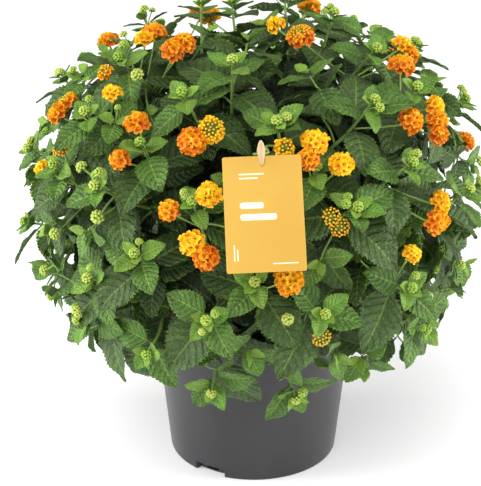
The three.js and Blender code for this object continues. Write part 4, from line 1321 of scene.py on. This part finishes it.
# ---- Florets and buds ----
LOBE_OUTLINE = [0.62, 0.9, 1.0, 0.97, 0.86]  # rim points of a lobe: a notch, then round its edge
LOBE_WAVE = [-0.06, 0.1, -0.02, 0.02, 0.1]  # height of those points, in shares of the floret's radius
FLORET_RADIUS = 4.4
FLORET_SHARE = 0.42  # largest floret, as a share of its head
FLORET_CROWDING = 2.7  # florets that cover a head, for each time it is a floret's area
FLORET_RINGS = [(0.22, -0.04), (0.62, 0.14), (1.0, 0.12)]  # share of the outline, and height
FLORET_CUP = 0.08
FLORET_SIZES = (0.86, 0.24)  # least and range, as in the next three
FLORET_LIFTS = (0.86, 0.16)
LOBE_SIZES = (0.84, 0.32)
LOBE_RUFFLES = (0.6, 0.8)
LOBE_CURL = 0.55
FLORET_JITTER = 0.55
FLORET_UPTURN = 0.2
FLORET_TUBE = 0.8  # how far a floret's tube reaches towards the head's base
HEAD_BASE = 0.4  # depth of that base, and the sizes of the core, in shares of the head's radius
HEAD_CORE = (0.56, 0.36)
HEAD_CORE_DEPTH = 0.04
THROAT_RADIUS = 0.12
THROAT_DEPTH = 0.35
HEAD_SPREAD = 102  # how far down from its axis a head has florets, in degrees
HEAD_FLORETS_AT = np.array([0.71, 0.6])  # in shares of the head's radius, outwards and along its axis
MIDDLE_BUDS_AT = np.array([0.736, 0.5152])
MIDDLE_BUD_RADIUS = 1.05
MIDDLE_BUD_MARGIN = 8
IN_BUD_SPREAD = 96
BUD_CROWDING = 0.4  # buds for each square millimetre of the dome they stand on
BUDS_IN_CLUSTER = 22
CLUSTER_SPREAD = 100
CLUSTER_CORE = (0.72, 0.55)
CLUSTER_REACH = 0.58
CLUSTER_BUD = 0.31
CORE_ROWS = 4
CORE_SIDES = 8
DROP_TOP = 1.55
DROP, DROP_FACES = lathe([(0.85, 0.3), (0.85, 1.15)], -0.3, DROP_TOP, 5)
DROP_PLACE = np.zeros(DROP.shape)
DROP_PLACE[:, 0] = np.clip(DROP[:, 2] / DROP_TOP, 0, 1)


def frame_for(normal, spin):
    first = sideways(normal, spin)
    return np.stack([first, np.cross(normal, first), normal])


def add_floret(piece, centre, normal, apex, radius, tint, random):
    """A corolla with four or five ruffled lobes round a sunken throat, on a tube that ends at the apex."""
    lobes = 5 if random() < 0.5 else 4
    ring = len(LOBE_OUTLINE)
    count = lobes * ring
    angles = np.arange(count) * 2 * math.pi / count
    sizes = np.repeat([varied(random, LOBE_SIZES) for _ in range(lobes)], ring)
    curls = np.repeat([LOBE_CURL * (random() - 0.4) for _ in range(lobes)], ring)
    outline = np.tile(LOBE_OUTLINE, lobes) * sizes
    outline[::ring] = LOBE_OUTLINE[0]
    wave = np.tile(LOBE_WAVE, lobes) * varied(random, LOBE_RUFFLES)
    local = []
    for share, height in FLORET_RINGS:
        out = outline * share + (1 - share) * THROAT_RADIUS
        level = height + share ** 2 * (FLORET_CUP + curls) + share ** 3 * wave
        local.append(np.stack([out * np.cos(angles), out * np.sin(angles), level], axis=1))
    axes = frame_for(normal, random() * 2 * math.pi)
    throat = centre - normal * (THROAT_DEPTH * radius)
    vertices = np.concatenate([centre + np.concatenate(local) * radius @ axes, [throat, apex]])
    place = np.zeros(vertices.shape)
    place[:, 0] = [*np.repeat([share for share, _ in FLORET_RINGS], count), 0.0, 0.5]
    faces = [np.roll(group[:, ::-1], 1, axis=1) for group in closed_faces(len(FLORET_RINGS), count)]
    tone = random()
    piece.add(vertices, faces, 0, place, (tint + 0.2 * (tone - 0.5), tone, 0.0))


def add_drop(piece, foot, normal, radius, material, tint, tone, closed=0.0):
    """One small bud: a rounded knob on a point."""
    vertices = foot + DROP * radius @ frame_for(normal, tone * 6)
    piece.add(vertices, DROP_FACES, material, DROP_PLACE, (tint, tone, closed))


def dome_directions(count, widest, axis, spin):
    """Directions spread evenly over a cap round an axis, from its middle outwards."""
    low = math.cos(widest * DEGREE)
    axes = frame_for(axis, spin)
    for i in range(count):
        height = 1 - (1 - low) * (i + 0.5) / count
        out = math.sqrt(max(0.0, 1 - height * height))
        yield height, polar(out, i * GOLDEN_ANGLE * DEGREE, height) @ axes


def on_head(head, direction, shares):
    """The way from the middle of a head to its flattened dome, given shares outwards and along."""
    rise = direction.dot(head["axis"])
    outward, along = shares * head["radius"]
    return (direction - head["axis"] * rise) * outward + head["axis"] * (rise * along)


def add_core(piece, centre, axis, size, material, nature):
    """A rounded body of a radius and a half height inside a head, which fills it between its florets."""
    radius, height = size
    turns = [math.pi * row / CORE_ROWS for row in range(1, CORE_ROWS)]
    levels = [(radius * math.sin(turn), -height * math.cos(turn)) for turn in turns]
    local, faces = lathe(levels, -height, height, CORE_SIDES)
    piece.add(centre + local @ frame_for(axis, 0.0), faces, material, None, nature)


def add_bud_cluster(piece, centre, axis, radius, tint, random):
    """A head in green bud: many small buds on a dome."""
    add_core(piece, centre, axis, np.multiply(CLUSTER_CORE, radius), BUD_SLOT, (0.0, 0.0, 0.0))
    for _, direction in dome_directions(BUDS_IN_CLUSTER, CLUSTER_SPREAD, axis, 3 * random()):
        tone = random()
        foot = centre + direction * (CLUSTER_REACH * radius) - axis * (0.1 * radius)
        bud_tint = min(1.0, tint + 0.4 * (tone - 0.5))
        add_drop(piece, foot, direction, CLUSTER_BUD * radius, BUD_SLOT, bud_tint, tone)


def add_head(piece, head, random):
    """A domed flower head. Its youngest florets, in the middle, are the yellowest or still in bud."""
    centre, axis, radius, stage = head["centre"], head["axis"], head["radius"], head["stage"]
    floret = min(FLORET_RADIUS, FLORET_SHARE * radius)
    base = centre - axis * (HEAD_BASE * radius)
    middle = centre - axis * (HEAD_CORE_DEPTH * radius)
    add_core(piece, middle, axis, np.multiply(HEAD_CORE, radius), 0, (0.9, 0.0, 0.7))
    count = 0 if stage == IN_BUD else round(FLORET_CROWDING * (radius / floret) ** 2)
    for height, direction in dome_directions(count, HEAD_SPREAD, axis, head["spin"]):
        if height > 1 - stage:
            continue
        place = centre + on_head(head, direction, HEAD_FLORETS_AT) * varied(random, FLORET_LIFTS)
        jitter = vec(random(), random(), random()) - 0.5
        normal = unit(direction + axis * FLORET_UPTURN + jitter * FLORET_JITTER)
        apex = place + (base - place) * FLORET_TUBE
        tint = head["tint"] + 0.5 * (math.sqrt(1 - height) - 0.66)
        add_floret(piece, place, normal, apex, floret * varied(random, FLORET_SIZES), tint, random)
    if stage > OPEN:
        add_middle_buds(piece, head, random)


def add_middle_buds(piece, head, random):
    """The part of a head that is still in bud: green in the middle, yellow to orange further out."""
    stage = head["stage"]
    widest = IN_BUD_SPREAD if stage == IN_BUD else math.acos(1 - stage) / DEGREE + MIDDLE_BUD_MARGIN
    cap = 1 - math.cos(widest * DEGREE)
    count = round(BUD_CROWDING * cap * head["radius"] ** 2)
    for height, direction in dome_directions(count, widest, head["axis"], head["spin"]):
        out = math.sqrt((1 - height) / cap)
        foot = head["centre"] + on_head(head, direction, MIDDLE_BUDS_AT)
        tone = random()
        closed = clamped(1.25 - 1.3 * out + 0.3 * (tone - 0.5))
        size = MIDDLE_BUD_RADIUS * (0.8 + 0.5 * out)
        tint = head["tint"] * 0.6 + 0.25 * out
        add_drop(piece, foot, unit(direction + head["axis"] * 0.4), size, 0, tint, tone, closed)


def build_blooms():
    for index, heads in enumerate(blooms):
        piece = Piece(PETAL)
        random = random_from(1500 + index)
        for head in heads:
            add_head(piece, head, random)
        name = f"bloom_{index + 1:02d}"
        piece.make(f"fine_{name}", [name], sharp=75)


# ---- Shoots ----
KNOB_CLUSTER_RADIUS = 4.7
SIDE_BUD_BACK = 8
SIDE_BUD_LENGTH = 19
SIDE_BUD_TRIES = 4
SIDE_BUD_OWNER = -2
SIDE_BUD_STALK = [0.6, 0.5, 0.55]
SIDE_BUD_LENGTHS = (0.8, 0.3)  # least and range, as in the next two
SIDE_BUD_SIDE = (7, 4)
SIDE_BUD_RADII = (3.0, 1.8)
TWIG_RADII = [1.0, 1.0, 0.9, 0.7]
PEDUNCLE_RADII = [0.85, 0.7, 0.95]
STEM_END_RADIUS = 0.75


def add_stem(piece, points, radii, sides, age, start_direction=None):
    points, radii = softened(points, radii)
    vertices, faces = tube(points, radii, sides, start_direction)
    piece.add(vertices, faces, STEM_SLOT, None, (age, 0.5, 0.0))


def add_side_bud(piece, stem, random):
    """A young bud head on a thin stalk from the axil of a leaf near the tip."""
    point, direction = back_from_end(stem["points"], SIDE_BUD_BACK)
    side = sideways(direction, 2 * math.pi * random())
    forward = SIDE_BUD_LENGTH * varied(random, SIDE_BUD_LENGTHS)
    end = point + direction * forward + side * varied(random, SIDE_BUD_SIDE)
    radius = varied(random, SIDE_BUD_RADII)
    around = room.around(end, radius)
    if room.is_free(end[None], 0.6 * radius, np.zeros(1, bool), SIDE_BUD_OWNER, around):
        room.occupy(end[None], radius, False, SIDE_BUD_OWNER)
        bend = point + direction * (0.5 * SIDE_BUD_LENGTH) + side * 2
        add_stem(piece, [point, bend, end], SIDE_BUD_STALK, 5, 0.2)
        axis = unit(unit(end - bend) + growth(end, HEAD_UPTURN))
        add_bud_cluster(piece, end, axis, radius, 0.35 + 0.5 * random(), random)


def build_shoot(shoot):
    piece = Piece(LEAF, STEM, BUD)
    random = random_from(1200 + shoot["index"])
    for i, stem in enumerate(shoot["stems"]):
        radii = SIDE_STEM_RADII if i else MAIN_STEM_RADII
        start = None if i else shoot["direction"]
        knob = stem["knob"]
        end = knob - stem["direction"] * 1.5
        add_stem(piece, [*stem["points"], end], [*radii, STEM_END_RADIUS], 7, 0.4, start)
        tint = 0.3 + 0.5 * random()
        add_bud_cluster(piece, knob, stem["direction"], KNOB_CLUSTER_RADIUS, tint, random)
        for _ in range(SIDE_BUD_TRIES):
            add_side_bud(piece, stem, random)
    for twig in shoot["twigs"]:
        add_stem(piece, twig["points"], TWIG_RADII, 6, 0.35)
        add_side_bud(piece, twig, random)
    for peduncle in shoot["peduncles"]:
        start, end = peduncle["points"]
        middle = (start + end) / 2 - UP * 0.5
        add_stem(piece, [start, middle, end], PEDUNCLE_RADII, 6, 0.15)
        if peduncle["head"]:
            head = peduncle["head"]
            add_bud_cluster(piece, head["centre"], head["axis"], head["radius"] * 0.85, 0.75, random)
    if shoot["index"] == HOLDER_SHOOT:
        add_stem(piece, holder, [HOLDER_RADIUS] * 4, 7, 0.3)
    for leaf in shoot["leaves"]:
        add_leaf(piece, leaf, random)
    piece.make(f"fine_{shoot['name']}", [shoot["name"]], sharp=70)


# ---- Woody stems ----
def build_wood():
    """Base stem, trunks and limbs, each with slightly uneven radii."""
    piece = Piece(BARK)
    flare = [base_stem[0], vec(0, 0, SOIL_TOP + SOIL_MOUND), base_stem[1]]
    base_radii = [BASE_STEM_RADII[0], BASE_FLARE_RADIUS, BASE_STEM_RADII[1]]
    parts = [(flare, base_radii, 14, None)]
    parts += [(trunk, TRUNK_RADII, 10, None) for trunk in trunks]
    parts += [(limb, LIMB_RADII, 8, shoots[i]["direction"]) for i, limb in enumerate(limbs)]
    for number, (points, radii, sides, end_direction) in enumerate(parts):
        random = random_from(1700 + number)
        points, radii = softened(points, radii, 3)
        radii = [radius * (0.96 + 0.08 * random()) for radius in radii]
        vertices, faces = tube(points, radii, sides, None, end_direction)
        piece.add(vertices, faces)
    piece.make("fine_woody_stems", ["woody_stems"])


# ---- Pot ----
POT_SIDES = 120
NOTCH_TAPER = 3  # how much narrower each side of a drain notch is at its top
NOTCH_TAPER_FOOT = 6
HOLE_LOW = 2.4
HOLE_HIGH = 8.2
EDGE_STEP = 0.25  # half the width over which a notch or a hole steps in


def pot_radius(z):
    return POT_BASE_RADIUS + (POT_RIM_RADIUS - POT_BASE_RADIUS) * z / POT_HEIGHT


def drain_angles():
    return [DRAIN_FIRST_ANGLE * DEGREE + i * 2 * math.pi / DRAIN_COUNT for i in range(DRAIN_COUNT)]


def drain_inset(angle, z):
    """How far the outside steps in at a drain notch, with a deeper hole in its middle."""
    for middle in drain_angles():
        apart = abs((angle - middle + math.pi) % (2 * math.pi) - math.pi) * POT_BASE_RADIUS
        narrowing = max(0.0, (z - NOTCH_TAPER_FOOT) / (DRAIN_HEIGHT - NOTCH_TAPER_FOOT))
        if z <= DRAIN_HEIGHT - 0.5 and apart <= DRAIN_HALF_WIDTH - NOTCH_TAPER * narrowing:
            in_hole = apart <= DRAIN_HOLE_HALF_WIDTH and HOLE_LOW < z < HOLE_HIGH
            return DRAIN_DEPTH + (DRAIN_HOLE_DEPTH if in_hole else 0)
    return 0.0


def pot_angles():
    """Angles round the pot, closer together at the edges of the drain notches and holes."""
    angles = {round(i * 2 * math.pi / POT_SIDES, 6) for i in range(POT_SIDES)}
    for middle in drain_angles():
        for half in (DRAIN_HALF_WIDTH, DRAIN_HALF_WIDTH - NOTCH_TAPER, DRAIN_HOLE_HALF_WIDTH):
            for way in (half - EDGE_STEP, half + EDGE_STEP):
                for sign in (-1, 1):
                    angles.add(round((middle + sign * way / POT_BASE_RADIUS) % (2 * math.pi), 6))
    return sorted(angles)


def build_pot():
    """The pot's wall as rings from its foot over the rim to its floor inside, with softened edges."""
    band_z = POT_HEIGHT - RIM_BAND
    foot, band_foot, lip = POT_BASE_RADIUS, pot_radius(band_z), pot_radius(POT_HEIGHT) + RIM_STEP
    outside = [(55, 0), (foot - 1.4, 0), (foot - 0.4, 0.35), (foot, 1.3)]
    for z in (2.2, 2.6, 5.5, 8.0, 8.4, 9.0, 14, 30, 60, 90, 120, band_z - 0.6):
        outside.append((pot_radius(z), z))
    levels = [*outside, (band_foot + 0.5, band_z)]
    levels += [(band_foot + RIM_STEP - 0.2, band_z + 0.6), (band_foot + RIM_STEP, band_z + 1.4)]
    wall = RIM_STEP + POT_WALL
    for back, down in ((0, 1.6), (0.25, 0.7), (0.9, 0.1), (1.8, 0), (3.2, 0.15), (wall, 0.8)):
        levels.append((lip - back, POT_HEIGHT - down))
    levels += [(pot_radius(z) - POT_WALL, z) for z in (SOIL_TOP, FOOT_HEIGHT)]
    levels += [(FOOT_INNER_RADIUS, z) for z in (FOOT_HEIGHT, POT_FLOOR)]
    angles = pot_angles()
    vertices = []
    for row, (radius, z) in enumerate(levels):
        for angle in angles:
            inset = drain_inset(angle, z) if 0 < row < len(outside) else 0
            vertices.append(polar(radius - inset, angle, z))
    vertices += [[0, 0, 0], [0, 0, POT_FLOOR]]
    piece = Piece(plastic_material())
    piece.add(np.array(vertices, dtype=float), closed_faces(len(levels), len(angles)))
    piece.make("fine_pot", ["pot"], sharp=32)


# ---- Soil ----
SOIL_SIDES = 120
SOIL_RINGS = 34
SOIL_SINK = 1.6  # the soil's mean level under the top of its plain solid
SOIL_ROUGHNESS = 2.4
CRUMB_COUNT = 420
CRUMB_SIDES = 5
CRUMB_SMALLEST = 0.8
CRUMB_RANGE = 2.4
BARK_SHARE = 0.35  # crumbs of bark among the crumbs of soil


def soil_height(radius, edge):
    return SOIL_TOP + SOIL_MOUND * math.cos(0.5 * math.pi * radius / edge) - SOIL_SINK


def build_soil():
    """The filled soil body with an uneven mound, and loose crumbs of soil and bark on it."""
    piece = Piece(SOIL)
    random = random_from(1801)
    edge = pot_radius(SOIL_TOP) - POT_WALL - 2 * GAP
    profile = [
        (FOOT_INNER_RADIUS - GAP, POT_FLOOR + GAP), (FOOT_INNER_RADIUS - GAP, FOOT_HEIGHT + GAP),
        (pot_radius(FOOT_HEIGHT) - POT_WALL - 2 * GAP, FOOT_HEIGHT + GAP), (edge, SOIL_TOP - 1.0),
    ]
    vertices = []
    for radius, z in profile:
        for k in range(SOIL_SIDES):
            vertices.append(polar(radius, k * 2 * math.pi / SOIL_SIDES, z))
    for ring in range(SOIL_RINGS):
        radius = edge * (1 - (ring + 1) / (SOIL_RINGS + 1))
        for k in range(SOIL_SIDES):
            angle = (k + 0.5 * random()) * 2 * math.pi / SOIL_SIDES
            z = soil_height(radius, edge) + SOIL_ROUGHNESS * (random() - 0.5)
            vertices.append(polar(radius, angle, z))
    vertices += [[0, 0, POT_FLOOR + GAP], [0, 0, SOIL_TOP + SOIL_MOUND - SOIL_SINK]]
    piece.add(np.array(vertices, dtype=float), closed_faces(len(profile) + SOIL_RINGS, SOIL_SIDES))
    for _ in range(CRUMB_COUNT):
        out = (edge - 5) * math.sqrt(0.03 + 0.97 * random())
        angle = 2 * math.pi * random()
        size = CRUMB_SMALLEST + CRUMB_RANGE * random() ** 2
        highest = SOIL_TOP + SOIL_MOUND - 1.6 * size
        foot = polar(out, angle, min(soil_height(out, edge), highest) - 0.6 * size)
        lean = unit(vec(random() - 0.5, random() - 0.5, 0.7))
        vertices, faces = crumb(foot, lean, size, random)
        is_bark = 1.0 if random() < BARK_SHARE else 0.0
        piece.add(vertices, faces, 0, None, (0.0, random(), is_bark))
    piece.make("fine_soil", ["soil"], sharp=40)


def crumb(foot, lean, size, random):
    """An uneven little lump: a bent ring of corners with a point above and below."""
    axes = frame_for(lean, 6 * random())
    local = []
    for k in range(CRUMB_SIDES):
        angle = (k + 0.4 * random()) * 2 * math.pi / CRUMB_SIDES
        out = 0.7 + 0.6 * random()
        local.append(polar(out, angle, 0.5 + 0.4 * random()))
    local += [[0, 0, 0], [0.2 * random(), 0.2 * random(), 1.3]]
    return foot + np.array(local) * size @ axes, closed_faces(1, CRUMB_SIDES)


# ---- Name card ----
CARD_RULES = [  # left, right, top and bottom in shares of the card, from its top left corner
    (0.20, 0.52, 0.150, 0.163),
    (0.20, 0.44, 0.185, 0.198),
    (0.20, 0.50, 0.40, 0.455),
    (0.20, 0.66, 0.50, 0.555),
    (0.10, 0.115, 0.76, 0.90),
    (0.14, 0.155, 0.80, 0.90),
    (0.58, 0.90, 0.925, 0.935),
]
RULE_RISE = 0.06
RULE_DEPTH = 0.1
RULE_BEVEL = 0.02
RULE_CORNER = 0.35
CARD_BEVEL = 0.12


def plate(outline, low, high, bevel):
    """A flat plate in the card's own frame, with slightly softened edges."""
    outline = np.array(outline)
    middle = outline.mean(axis=0)
    count = len(outline)
    span = np.abs(outline - middle).max(axis=0)
    rings = []
    for shrink, z in ((bevel, low), (0, low + bevel), (0, high - bevel), (bevel, high)):
        ring = middle + (outline - middle) * (1 - shrink / span)
        rings.append(np.column_stack([ring, np.full(count, z)]))
    local = np.concatenate([*rings, [[*middle, low], [*middle, high]]])
    return CARD_ORIGIN + local @ CARD_AXES.T, closed_faces(len(rings), count)


def rounded_outline(left, right, low, high, corner):
    outline = []
    for number, (x, y) in enumerate((
        (right - corner, low + corner), (right - corner, high - corner),
        (left + corner, high - corner), (left + corner, low + corner),
    )):
        for step in range(5):
            angle = (90 * (number - 1) + 22.5 * step) * DEGREE
            outline.append([x + corner * math.cos(angle), y + corner * math.sin(angle)])
    return outline


def build_card():
    """The amber card, and plain pale rules that stand a little over its face."""
    piece = Piece(card_material(), mark_material())
    left = -CARD_WIDTH / 2
    outline = rounded_outline(left, -left, -CARD_HEIGHT, 0, CARD_CORNER)
    piece.add(*plate(outline, 0, CARD_THICKNESS, CARD_BEVEL))
    for start, end, top, bottom in CARD_RULES:
        x0, x1 = left + start * CARD_WIDTH, left + end * CARD_WIDTH
        y0, y1 = -bottom * CARD_HEIGHT, -top * CARD_HEIGHT
        outline = rounded_outline(x0, x1, y0, y1, RULE_CORNER * min(x1 - x0, y1 - y0))
        low, high = CARD_THICKNESS - RULE_DEPTH, CARD_THICKNESS + RULE_RISE
        piece.add(*plate(outline, low, high, RULE_BEVEL), 1)
    piece.make("fine_label_card", ["label_card"], sharp=30)


def dress_clip():
    """The clip keeps its solid. It gets softened edges and pale wood."""
    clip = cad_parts["label_clip"]
    clip.data.materials.clear()
    clip.data.materials.append(wood_material())
    bevel = clip.modifiers.new("soft_edges", "BEVEL")
    bevel.width = 0.25 * MM
    bevel.segments = 2
    bevel.limit_method = "ANGLE"


# ---- Studio ----
PHOTO_WIDTH = 481
PHOTO_HEIGHT = 486
AXIS_PIXEL = 253.8  # where the pot's axis stands in the picture, from its left edge
VIEW_TILT = 22 * DEGREE
VIEW_DISTANCE = 1.3
VIEW_HEIGHT = 0.206
FOCAL_PIXELS = 1399.2
SENSOR = 36.0
SKY_STRENGTH = 0.5
KEY_STRENGTH = 1.85
KEY_SPREAD = 50 * DEGREE
FLOOR_GLOW = 0.14  # keeps the shadow on the floor pale
FLOOR_HALF_WIDTH = 6
SIDE_POWER = 25
SIDE_SIZE = (0.8, 1.4)
KEY_DIRECTION = (0.35, 0.75, -1.0)


def add_object(name, data, location=(0, 0, 0), turn=(0, 0, 0)):
    made = bpy.data.objects.new(name, data)
    made.location = location
    made.rotation_euler = turn
    bpy.context.scene.collection.objects.link(made)
    return made


def facing(direction):
    return Vector(direction).to_track_quat("-Z", "Y").to_euler()


def build_camera():
    data = bpy.data.cameras.new("camera")
    data.sensor_width = SENSOR
    data.lens = FOCAL_PIXELS * SENSOR / PHOTO_HEIGHT
    offset = (AXIS_PIXEL - PHOTO_WIDTH / 2) * VIEW_DISTANCE / FOCAL_PIXELS
    away, rise = VIEW_DISTANCE * math.cos(VIEW_TILT), VIEW_DISTANCE * math.sin(VIEW_TILT)
    turn = (math.pi / 2 - VIEW_TILT, 0, 0)
    bpy.context.scene.camera = add_object("camera", data, (-offset, -away, VIEW_HEIGHT + rise), turn)


def build_floor():
    """A wide pale floor, which glows a little."""
    mesh = bpy.data.meshes.new("floor")
    half = FLOOR_HALF_WIDTH
    corners = [(-half, -half, 0), (half, -half, 0), (half, half, 0), (-half, half, 0)]
    mesh.from_pydata(corners, [], [(0, 1, 2, 3)])
    shader = Shader("floor", Roughness=0.9, Emission_Color=(1, 1, 1, 1), Emission_Strength=FLOOR_GLOW)
    mesh.materials.append(shader.finish((250, 250, 250)))
    floor = add_object("floor", mesh)


def build_lights():
    """An even white sky, a wide sun from above, and a tall soft box on each side that edges the pot."""
    world = bpy.data.worlds.new("studio")
    world.use_nodes = True
    background = world.node_tree.nodes["Background"]
    background.inputs["Color"].default_value = (1, 1, 1, 1)
    background.inputs["Strength"].default_value = SKY_STRENGTH
    bpy.context.scene.world = world
    sun = bpy.data.lights.new("key", "SUN")
    sun.energy = KEY_STRENGTH
    sun.angle = KEY_SPREAD
    add_object("key", sun, turn=facing(KEY_DIRECTION))
    for side in (-1, 1):
        box = bpy.data.lights.new("side", "AREA")
        box.shape = "RECTANGLE"
        box.size, box.size_y = SIDE_SIZE
        box.energy = SIDE_POWER
        add_object("side", box, (1.5 * side, -0.2, 0.45), facing((-side, 0.1, -0.2)))
    bpy.context.scene.view_settings.view_transform = "Standard"


build_camera()
build_pot()
build_soil()
build_wood()
for shoot in shoots:
    build_shoot(shoot)
build_blooms()
build_card()
dress_clip()
build_floor()
build_lights()
